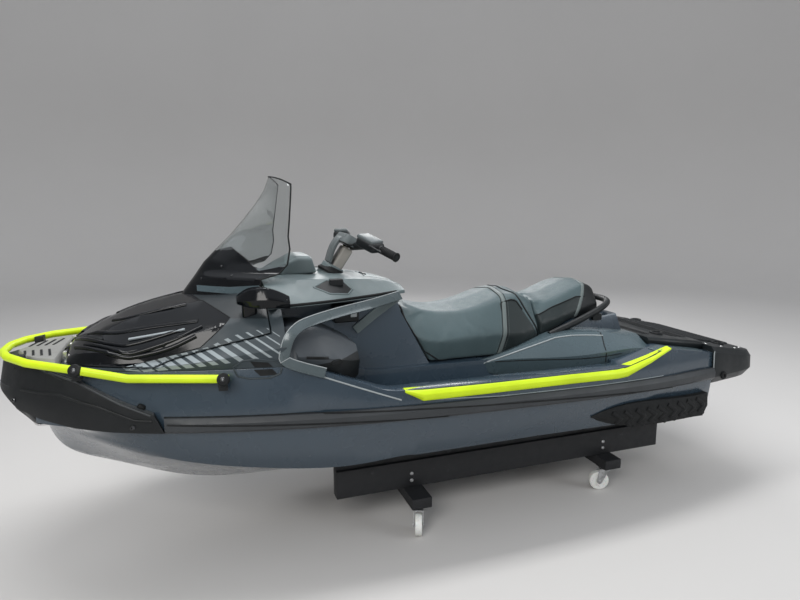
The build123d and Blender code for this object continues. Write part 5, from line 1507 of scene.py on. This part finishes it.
class WATERCRAFT_OT_steering(bpy.types.Operator):
    """Add the column, the bar with its grips, switch pods, levers and pad"""

    bl_idname = "watercraft.steering"
    bl_label = "Steering"

    def execute(self, context):
        neck = bmesh.new()
        turned_block(neck, NECK_MIDDLE, Matrix.Rotation(NECK_TILT, 4, "Y"), NECK_SIZE)
        piece = placed("steering_neck", neck, "column", "steering", replaces=("steering_column",))
        rounded_edges(piece, NECK_EDGE, crease=BLOCK_CREASE)
        boot = bmesh.new()
        turned(boot, BOOT_PROFILE, BOOT_FOOT, BOOT_AXIS, BOOT_STEPS)
        modelled("steering_boot", boot, "rubber", "steering", crease=KNOB_CREASE)
        dressed("handlebar", "black", 0, BAR_CREASE)
        sleeves = [[(Vector((x, side * y, z)) * MM, UP) for x, y, z in BAR_SLEEVE] for side in SIDES]
        grown("bar_sleeves", "tube", sleeves, "black", "steering", Radius=SLEEVE_RADIUS, Bend=SLEEVE_BEND)
        dressed("grips", "rubber", GRIP_EDGE)
        dressed("levers", "black", LEVER_EDGE)
        dressed("bar_pad", "pad", PAD_EDGE)
        rings, pods, tops = [], bmesh.new(), bmesh.new()
        start, end = (Vector(p) for p in BAR_GRIPS)
        way = (end - start).normalized()
        for side in SIDES:
            turn = Vector((way.x, side * way.y, way.z))
            origin = Vector((start.x, side * start.y, start.z))
            across = turn.orthogonal().normalized()
            for k in range(GRIP_RINGS):
                centre = origin + turn * (RING_START + RING_PITCH * k)
                ring = []
                for step in range(RING_STEPS + 1):
                    spoke = Matrix.Rotation(math.tau * step / RING_STEPS, 3, turn) @ across
                    ring.append(((centre + spoke * RING_RADIUS) * MM, spoke))
                rings.append(ring)
            place = origin + turn * POD_REACH + Vector(POD_SHIFT)
            facing = turn.to_track_quat("X", "Z").to_matrix().to_4x4()
            turned_block(pods, place, facing, POD)
            turned_block(tops, place + UP * POD_TOP_LIFT, facing, POD_TOP)
        beads("grip_rings", rings, "rubber", width=5, height=4, body="steering")
        piece = placed("switch_pods", pods, "black", "steering")
        rounded_edges(piece, POD_EDGE, segments=ROUND_SEGMENTS, crease=BLOCK_CREASE)
        piece = placed("switch_tops", tops, "pad", "steering")
        rounded_edges(piece, POD_TOP_EDGE, segments=ROUND_SEGMENTS, crease=BLOCK_CREASE)
        shroud = [(Vector(p) * MM, Vector(SHROUD_FACING)) for p in spaced(softened(SHROUD), step=8)]
        cover = beads("bar_shroud", [shroud], "pad", width=104, height=14, body="steering", kind="batten")
        rounded_edges(cover, SHROUD_EDGE, crease=BLOCK_CREASE)
        tree = tree_of("bar_pad")
        rim = []
        for step in range(PAD_RIM_STEPS + 1):
            angle = math.tau * step / PAD_RIM_STEPS
            x, y = PAD_RIM_X + PAD_RIM_ALONG * math.cos(angle), PAD_RIM_ACROSS * math.sin(angle)
            rim.append(tree.find_nearest(Vector((x, y, PAD_RIM_Z)) * MM)[:2])
        beads("pad_rim", [rim], "rubber", width=9, height=7, body="steering")
        return {"FINISHED"}


# Footwells

ARCH = [
    (600, 556, 842), (706, 542, 876), (758, 528, 900), (752, 522, 930), (736, 520, 985), (706, 507, 1018),
    (662, 480, 1036), (535, 418, 1052), (440, 378, 1060), (336, 336, 1068), (170, 232, 1080),
]
ARCH_STEP, ARCH_WIDTH, ARCH_THICK, ARCH_EDGE, ARCH_CREASE = 15, 40, 16, 0.004, 40
# Offsets in metres of the painted highlight line on each arch band's upper edge, across and outwards.
ARCH_HIGHLIGHT_ACROSS, ARCH_HIGHLIGHT_OUT = 0.020, 0.008
GUNWALE_LINE = [(620, 552, 832), (453, 565, 766), (288, 590, 703)]
GUARD_X, GUARD_Z, GUARD_SLOPE, GUARD_EDGE = 435, 893, 0.12, 0.006
GUARD_SLOT = [(668, 905), (578, 896)]
DENT_TURNS = [math.tau * k / 20 for k in range(21)]
GUARD_DENT = [(543 + 24 * math.cos(a), 872 + 13 * math.sin(a)) for a in DENT_TURNS]
CONSOLE_TRIM = [(389, 235, 934), (300, 245, 1000), (187, 258, 1074)]
LATCH_BOX, LATCH_BOX_EDGE = ((384, 228, 984), (498, 296, 1064)), 0.008
LATCH_PLATE, LATCH_PLATE_EDGE = ((396, 295, 1008), (424, 301, 1048)), 0.002
MAT_RIB_STEPS, MAT_RIB_SPACING, MAT_FLAT, MAT_RIB_MIN = 60, 18, 0.8, 0.02
MAT_EDGE = 0.001


def mat_ribs(name, node, low, high, reach):
    """Battens across a mat, each from edge to edge."""
    tree = tree_of(node)
    strands = []
    for x in range(low, high + 1, MAT_RIB_SPACING):
        run = []
        for step in range(MAT_RIB_STEPS + 1):
            y = -reach + 2 * reach * step / MAT_RIB_STEPS
            place, normal, _, _ = tree.ray_cast(Vector((x, y, FAR)) * MM, -UP)
            if place is not None and normal.z > MAT_FLAT:
                run.append((place, normal))
            elif run:
                strands.append([run[0], run[-1]])
                run = []
        if run:
            strands.append([run[0], run[-1]])
    long = [s for s in strands if (s[0][0] - s[1][0]).length > MAT_RIB_MIN]
    beads(name, long, "mat", width=9, height=4, kind="batten")


def along(places, k):
    """Direction of a poly-line of vectors at one of them."""
    return (places[min(k + 1, len(places) - 1)] - places[max(k - 1, 0)]).normalized()


def arch_middles():
    """Strands along the middle of both arch bands."""
    strands = []
    for side in SIDES:
        line = [Vector((x, side * y, z)) for x, y, z in spaced(softened(ARCH), ARCH_STEP)]
        outward = Vector((0.15, side * 0.9, 0.35))
        run = []
        for k, place in enumerate(line):
            way = along(line, k)
            run.append((place * MM, (outward - way * outward.dot(way)).normalized()))
        strands.append(run)
    return strands


def arch_highlight_strands(middles):
    """Strands along the upper edge of both arch bands, for the pale line of painted highlight there."""
    strands = []
    for middle in middles:
        places = [place for place, _ in middle]
        run = []
        for k, (place, facing) in enumerate(middle):
            across = along(places, k).cross(facing)
            across *= 1 if across.z >= 0 and across.x > -0.8 else -1
            run.append((place + across * ARCH_HIGHLIGHT_ACROSS + facing * ARCH_HIGHLIGHT_OUT, facing))
        strands.append(run)
    return strands


class WATERCRAFT_OT_footwells(bpy.types.Operator):
    """Add the arch bands with a painted highlight line, leg deflectors, latch boxes and footwell mats"""

    bl_idname = "watercraft.footwells"
    bl_label = "Footwells"

    def execute(self, context):
        middles = arch_middles()
        band = beads(
            "arch_bands", middles, "arch", ARCH_WIDTH, ARCH_THICK,
            kind="batten", replaces=("footwell_frames",),
        )
        rounded_edges(band, ARCH_EDGE, crease=ARCH_CREASE)
        # Pale bead: painted highlight along the upper edge of each arch band.
        beads("arch_lines", arch_highlight_strands(middles), "pale", width=4, height=4)

        slope = ((GUARD_X, 0, GUARD_Z), (GUARD_SLOPE, 0, 1))
        guards = dressed("leg_deflectors", "black", GUARD_EDGE, cuts=[slope])
        recoloured(guards, ("guard",), lambda c, n: int(c.z > GUARD_Z - GUARD_SLOPE * (c.x - GUARD_X)))
        trimmed(
            tree_of("leg_deflectors"),
            Trim("deflector_slots", "rubber", [GUARD_SLOT], width=13, height=4),
            Trim("deflector_dents", "rubber", [GUARD_DENT], width=5, height=4),
        )
        trimmed(
            tree_of("deck", "console"),
            Trim(
                "console_trims", "console", [CONSOLE_TRIM], width=40, height=14, way="near", lift=2, step=10,
                kind="batten", slot="deck_gelcoat",
            ),
        )
        boxes = placed("latch_boxes", pair_of_blocks(*LATCH_BOX), "black")
        rounded_edges(boxes, LATCH_BOX_EDGE, crease=BLOCK_CREASE)
        plates = placed("latch_plates", pair_of_blocks(*LATCH_PLATE), "pale")
        rounded_edges(plates, LATCH_PLATE_EDGE, segments=2)
        trimmed(
            tree_of("deck"),
            Trim(
                "gunwale_lines", "pale", [GUNWALE_LINE],
                width=7, height=5, way="near", lift=0.5, step=12, soft=1,
            ),
        )
        dressed("footwell_mats", "mat", MAT_EDGE)
        mat_ribs("footwell_ribs", "footwell_mats", low=-845, high=688, reach=520)
        return {"FINISHED"}


# Seats

SEAT_VOXEL, SEAT_DRAW_IN, SEAT_SWELL = 0.0085, 0.006, 0.007
SOFTEN_ROUNDS, SMOOTH_ROUNDS = 6, 3
CLOTH_FRAMES, CLOTH_PRESSURE, CLOTH_QUALITY, CLOTH_MASS = 18, 4.0, 4, 0.3
SIDE_PANEL = [(-384, 1000), (-470, 1018), (-568, 835), (-568, 700), (-372, 700)]
SIDE_NORMAL = 0.25
PASSENGER_LOW = [(-1000, 1000), (-842, 1006), (-588, 928)]
SEAT_GASKET = [(121, 1000), (116, 936), (14, 752), (-160, 742), (-375, 742)]
PANEL_SEAM = [(-392, 1002), (-470, 1019), (-500, 965)]
PASSENGER_SEAM = [(-592, 929), (-842, 1006), (-900, 1004)]
SHELL_LINE = [(1100, -950), (1059, -916), (960, -845), (880, -800)]
SEAT_MIDDLE, SHELL_MIDDLE, NOSE_MIDDLE = 850, 900, 930


def within(outline, a, b):
    """Whether a flat point lies inside an outline."""
    inside = False
    for (a0, b0), (a1, b1) in zip(outline, [*outline[1:], outline[0]]):
        if (b0 > b) != (b1 > b) and a < (a1 - a0) * (b - b0) / (b1 - b0) + a0:
            inside = not inside
    return inside


def blown_out(piece):
    """Let a seat's cover swell under pressure in a cloth run, as far as its foam allows."""
    rest = [v.co.copy() for v in piece.data.vertices]
    cover = piece.modifiers.new("cover", "CLOTH")
    cover.settings.quality = CLOTH_QUALITY
    cover.settings.mass = CLOTH_MASS
    cover.settings.use_pressure = True
    cover.settings.uniform_pressure_force = CLOTH_PRESSURE
    cover.settings.effector_weights.gravity = 0
    cover.point_cache.frame_start = 1
    cover.point_cache.frame_end = CLOTH_FRAMES
    for step in range(1, CLOTH_FRAMES + 1):
        bpy.context.scene.frame_set(step)
    settled(piece)
    bpy.context.scene.frame_set(1)
    for v, origin in zip(piece.data.vertices, rest):
        move = v.co - origin
        if move.length > SEAT_SWELL:
            v.co = origin + move.normalized() * SEAT_SWELL


def upholstered(node):
    """A seat's solid made over as foam under a tight cover."""
    shape = merged(node)
    bmesh.ops.recalc_face_normals(shape, faces=shape.faces)
    shape.normal_update()
    drawn_in = [(v, v.co - v.normal * SEAT_DRAW_IN) for v in shape.verts]
    for v, place in drawn_in:
        v.co = place
    piece = placed(node + "_cover", shape, None, body_of(node), (node,))
    remesh = piece.modifiers.new("remesh", "REMESH")
    remesh.mode = "VOXEL"
    remesh.voxel_size = SEAT_VOXEL
    soften = piece.modifiers.new("soften", "SMOOTH")
    soften.iterations = SOFTEN_ROUNDS
    settled(piece)
    blown_out(piece)
    smooth = piece.modifiers.new("smooth", "SMOOTH")
    smooth.iterations = SMOOTH_ROUNDS
    finer = piece.modifiers.new("finer", "SUBSURF")
    finer.levels = finer.render_levels = 1
    settled(piece)
    piece.data.shade_smooth()
    return piece


def driver_tone(centre, normal):
    """Number of a driver's seat face's finish: the vinyl or its darker sides."""
    return int(abs(normal.y) > SIDE_NORMAL and within(SIDE_PANEL, centre.x, centre.z))


def passenger_tone(centre, normal):
    """Number of a passenger's seat face's finish: the vinyl, its darker sides or the shell."""
    if centre.x < level(SHELL_LINE, centre.z):
        return 2
    return int(abs(normal.y) > SIDE_NORMAL and centre.z < level(PASSENGER_LOW, centre.x))


class WATERCRAFT_OT_seats(bpy.types.Operator):
    """Add the seats with their covers, seams, piping and stitches, and the grab rail"""

    bl_idname = "watercraft.seats"
    bl_label = "Seats"

    def execute(self, context):
        driver = upholstered("driver_seat")
        recoloured(driver, ("vinyl", "vinyl_dark"), driver_tone)
        rider = upholstered("passenger_seat")
        recoloured(rider, ("vinyl", "vinyl_dark", "black"), passenger_tone)
        front, rear = tree_over(driver), tree_over(rider)
        belt = around(front, x=-424, z=SEAT_MIDDLE, reach=112, lift=0.5, lean=50)
        beads("seat_piping", [belt], "piping", width=24, height=7)
        borders = [around(front, x, SEAT_MIDDLE, reach=112, lift=0.5, lean=50) for x in (-411, -437)]
        beads("seat_seams", borders, "rubber", width=3, height=4)
        rows = [around(front, x, SEAT_MIDDLE, reach=108, lift=1.2, lean=50) for x in (-402, -446)]
        stitched("belt_stitches", rows)
        division = around(front, x=-462, z=SEAT_MIDDLE, reach=112, lift=0, lean=-108)
        beads("seat_division", [division], "rubber", width=9, height=9)
        stitched("division_stitches", [around(front, x=-478, z=SEAT_MIDDLE, reach=108, lift=1.2, lean=-104)])
        seams = []
        for side in SIDES:
            seams.append(strand(front, "side", side, PANEL_SEAM, lift=0.5, step=8, soft=1))
            seams.append(strand(front, "side", side, SEAT_GASKET, lift=0, step=12, soft=1))
        beads("panel_seams", seams, "rubber", width=8, height=7)
        trimmed(
            rear,
            Trim("passenger_seams", "rubber", [PASSENGER_SEAM], width=6, height=6, lift=0.5, step=10),
        )
        shell = around(rear, x=-938, z=SHELL_MIDDLE, reach=105, lift=0.5, lean=118)
        beads("shell_piping", [shell], "piping", width=20, height=7)
        beads("nose_seam", [around(front, x=121, z=NOSE_MIDDLE, reach=85)], "rubber", width=9, height=8)
        dressed("grab_rail", "black", 0, BAR_CREASE)
        return {"FINISHED"}


# Flanks

PAD_SLOT = [(-840, 585, 728), (-1000, 565, 758), (-1090, 548, 776)]
# Painted highlight: a pale line along each seat wing's upper edge, where the edge catches the light.
WING_HIGHLIGHT = [(-252, 268, 722), (-400, 296, 768), (-545, 323, 812), (-646, 335, 842), (-877, 372, 835)]
WING_CREASE = [(-300, 330, 722), (-500, 392, 736), (-787, 435, 741), (-1000, 440, 760)]
WING_REAR = [(-871, 330, 838), (-871, 372, 832), (-854, 413, 796), (-847, 438, 748), (-847, 441, 716)]
WING_ROUND = 0.004
# Painted highlight: a pale line on the deck below the gunwale pads, for the light on the rub band's top edge.
RUB_BAND_HIGHLIGHT = [(203, 593, 695), (-166, 601, 671), (-699, 595, 660), (-1100, 575, 655)]
QUARTER = [(-1075, 470), (-1075, 545), (-1420, 490), (-1420, 440)]
PadRow = namedtuple("PadRow", "x low_z high_z out_y deep")
PAD_ROWS = [
    PadRow(272, 734, 742, 592, 30), PadRow(195, 692, 737, 609, 52), PadRow(-103, 690, 733, 613, 62),
    PadRow(-513, 687, 729, 612, 62), PadRow(-800, 679, 722, 602, 60), PadRow(-860, 682, 726, 598, 58),
    PadRow(-1006, 730, 756, 583, 50), PadRow(-1137, 776, 788, 556, 34), PadRow(-1150, 780, 788, 552, 30),
]
PAD_BEVEL, PAD_SHOULDER, PAD_LIP = 6, 10, 5
FOAM_EDGE, FOAM_ANGLE, FOAM_CREASE = 0.005, 25, 45


def pad_ring(row):
    """Section of the gunwale foam on one row."""
    middle, inner = (row.low_z + row.high_z) / 2, row.out_y - row.deep
    return [
        (row.x, inner, row.low_z), (row.x, row.out_y - PAD_BEVEL, row.low_z),
        (row.x, row.out_y, middle - PAD_BEVEL), (row.x, row.out_y, middle + PAD_BEVEL),
        (row.x, row.out_y - PAD_SHOULDER, row.high_z), (row.x, inner, row.high_z + PAD_LIP),
    ]


class WATERCRAFT_OT_flanks(bpy.types.Operator):
    """Add the deck, the seat wings, the gunwale pads and their edge lines; the pale lines along the wings'
    upper edges and above the rub band are painted highlights
    """

    bl_idname = "watercraft.flanks"
    bl_label = "Flanks"

    def execute(self, context):
        dressed("deck", "hull")
        dressed("seat_wings", "deck", WING_ROUND)
        foam = bmesh.new()
        for side in SIDES:
            rows = [[Vector((x, side * y, z)) * MM for x, y, z in pad_ring(row)] for row in PAD_ROWS]
            skinned(foam, [[foam.verts.new(p) for p in row] for row in rows])
        pads = modelled("gunwale_foam", foam, "lime", replaces=("gunwale_pads",))
        rounded_edges(pads, FOAM_EDGE, FOAM_ANGLE, crease=FOAM_CREASE)
        trimmed(
            tree_of("seat_wings"),
            # Pale bead: painted highlight along each wing's upper edge.
            Trim("wing_edges", "pale", [WING_HIGHLIGHT], width=7, height=5, way="near", lift=0.5, step=12, soft=1),
            Trim(
                "wing_creases", "rubber", [WING_CREASE],
                width=5, height=3, way="near", lift=0, step=12, soft=1,
            ),
            Trim("wing_rears", "rubber", [WING_REAR], width=6, height=4, way="near"),
        )
        trimmed(
            tree_of("deck"),
            # Bead in the stripe colour: painted highlight along the rub band's top edge.
            Trim(
                "gunwale_underlines", "stripe", [RUB_BAND_HIGHLIGHT],
                width=5, height=4, way="near", lift=0.5, step=12, slot="deck_gelcoat",
            ),
        )
        trimmed(
            tree_over(pads),
            Trim("pad_slots", "rubber", [PAD_SLOT], width=6, height=4, way="near", lift=0.2, step=12),
        )
        panels("quarter_panels", ("deck",), "top", [QUARTER], "deck", lift=3, edge=1)
        return {"FINISHED"}


# Stern

REAR_DECK_EDGE, EXTENSION_EDGE, ANCHOR_EDGE = 0.004, 0.006, 0.003
PLATFORM_MAT_EDGE, LADDER_EDGE = 0.002, 0.001
EXTENSION_LINE = [(-1482, 508, 728), (-1440, 512, 640), (-1418, 512, 566)]
EXTENSION_SCREWS = [(-1510, 420), (-1600, 440), (-1720, 420), (-1810, 370), (-1840, 250)]
DECK_TREADS = [[(x, -330), (x, 330)] for x in (-1170, -1200, -1360, -1390, -1420, -1450)]
SIDE_FITTING = [(-1560, 590)]
FITTING_PROFILE = [(0, -4), (20, -4), (22, 2), (19, 7), (9, 7), (9, 2), (0, 2)]


class WATERCRAFT_OT_stern(bpy.types.Operator):
    """Add the stern deck, its extension, anchors, mats, eyes and boarding ladder"""

    bl_idname = "watercraft.stern"
    bl_label = "Stern"

    def execute(self, context):
        dressed("rear_deck", "extension", REAR_DECK_EDGE)
        dressed("platform_extension", "extension", EXTENSION_EDGE)
        dressed("cargo_anchors", "black", ANCHOR_EDGE)
        dressed("platform_mat", "mat", PLATFORM_MAT_EDGE)
        mat_ribs("platform_ribs", "platform_mat", low=-1822, high=-1540, reach=300)
        trimmed(
            tree_of("rear_deck"),
            Trim(
                "deck_treads", "black", DECK_TREADS,
                width=12, height=5, way="top", lift=0, step=20, kind="batten",
            ),
            sides=(1,),
        )
        tree = tree_of("platform_extension")
        trimmed(
            tree,
            Trim(
                "extension_lines", "pale", [EXTENSION_LINE],
                width=7, height=5, way="near", lift=0.5, step=12,
            ),
        )
        fittings = bmesh.new()
        for place, normal in marks(tree, "side", SIDE_FITTING):
            turned(fittings, FITTING_PROFILE, place / MM, normal)
        modelled("side_fittings", fittings, "rubber", crease=KNOB_CREASE)
        screws("extension_screws", marks(tree, "top", EXTENSION_SCREWS), "steel", radius=7)
        dressed("ladder_brackets", "steel")
        dressed("boarding_ladder", "steel", LADDER_EDGE)
        return {"FINISHED"}


PUMP_EDGE, PUMP_BOLTS, PUMP_BOLT_RING, PUMP_BOLT_REACH = 0.0015, 8, (-1022, 0, 330), 300
PUMP_BOLT_SINK, PUMP_BOLT_SHIFT = 0.008, (-0.014, 0, 0)


class WATERCRAFT_OT_pump(bpy.types.Operator):
    """Add the jet pump, the steering nozzle, the reverse bucket and the impeller"""

    bl_idname = "watercraft.pump"
    bl_label = "Pump"

    def execute(self, context):
        dressed("jet_pump", "cast", PUMP_EDGE)
        dressed("steering_nozzle", "cast", PUMP_EDGE)
        dressed("reverse_bucket", "black", PUMP_EDGE)
        dressed("impeller", "steel", 0)
        tree = tree_of("jet_pump")
        points = []
        for k in range(PUMP_BOLTS):
            angle = math.tau * (k + 0.5) / PUMP_BOLTS
            aim = Vector((0, math.cos(angle), math.sin(angle)))
            place = tree.ray_cast((Vector(PUMP_BOLT_RING) + aim * PUMP_BOLT_REACH) * MM, -aim)[0]
            if place is not None:
                points.append((place - aim * PUMP_BOLT_SINK + Vector(PUMP_BOLT_SHIFT), Vector((-1, 0, 0))))
        screws("pump_bolts", points, "steel", radius=7)
        return {"FINISHED"}


# Dolly

WHEEL_PLACES = [f"{end}_{side}" for end in ("front", "rear") for side in ("port", "starboard")]
BEAM_EDGE, FORK_EDGE = 0.003, 0.0006
BEAM_BOLTS = [(x, z) for x in (158, -925) for z in (215, 250)]


class WATERCRAFT_OT_dolly(bpy.types.Operator):
    """Add the dolly's beams, bars and swivel casters"""

    bl_idname = "watercraft.dolly"
    bl_label = "Dolly"

    def execute(self, context):
        dressed("dolly_beams", "timber", BEAM_EDGE)
        dressed("dolly_bars", "timber", BEAM_EDGE)
        for place in WHEEL_PLACES:
            dressed("caster_fork_" + place, "zinc", FORK_EDGE)
            dressed("caster_wheel_" + place, "nylon", 0)
        bolts = marks(tree_of("dolly_beams"), "side", BEAM_BOLTS)
        screws("beam_bolts", bolts, "zinc", radius=9, slot="stainless")
        return {"FINISHED"}


class WATERCRAFT_PT_panel(bpy.types.Panel):
    """Buttons for every part of the watercraft"""

    bl_idname = "WATERCRAFT_PT_panel"
    bl_label = "Watercraft"
    bl_space_type = "VIEW_3D"
    bl_region_type = "UI"
    bl_category = "Watercraft"

    def draw(self, context):
        for step in STEPS:
            self.layout.operator(step.bl_idname)
        for name in ("watercraft_colours", "watercraft_sizes"):
            group = getattr(context.scene, name)
            column = self.layout.column()
            for key in group.bl_rna.properties.keys():
                if key not in ("rna_type", "name"):
                    column.prop(group, key)


STEPS = (
    WATERCRAFT_OT_hull, WATERCRAFT_OT_bumper, WATERCRAFT_OT_bow, WATERCRAFT_OT_hood, WATERCRAFT_OT_windshield,
    WATERCRAFT_OT_console, WATERCRAFT_OT_steering, WATERCRAFT_OT_footwells, WATERCRAFT_OT_seats,
    WATERCRAFT_OT_flanks, WATERCRAFT_OT_stern, WATERCRAFT_OT_pump, WATERCRAFT_OT_dolly, WATERCRAFT_OT_stage,
)
CLASSES = (FinishColours, DetailSizes, *STEPS, WATERCRAFT_PT_panel)


def register():
    for c in CLASSES:
        bpy.utils.register_class(c)
    bpy.types.Scene.watercraft_colours = bpy.props.PointerProperty(type=FinishColours)
    bpy.types.Scene.watercraft_sizes = bpy.props.PointerProperty(type=DetailSizes)


def unregister():
    del bpy.types.Scene.watercraft_sizes
    del bpy.types.Scene.watercraft_colours
    for c in reversed(CLASSES):
        bpy.utils.unregister_class(c)


def main():
    register()
    build = bpy.ops.watercraft
    for step in (
        build.hull, build.bumper, build.bow, build.hood, build.windshield, build.console, build.steering,
        build.footwells, build.seats, build.flanks, build.stern, build.pump, build.dolly, build.stage,
    ):
        step()
    bpy.data.objects.remove(screw_head())


if __name__ == "__main__":
    main()
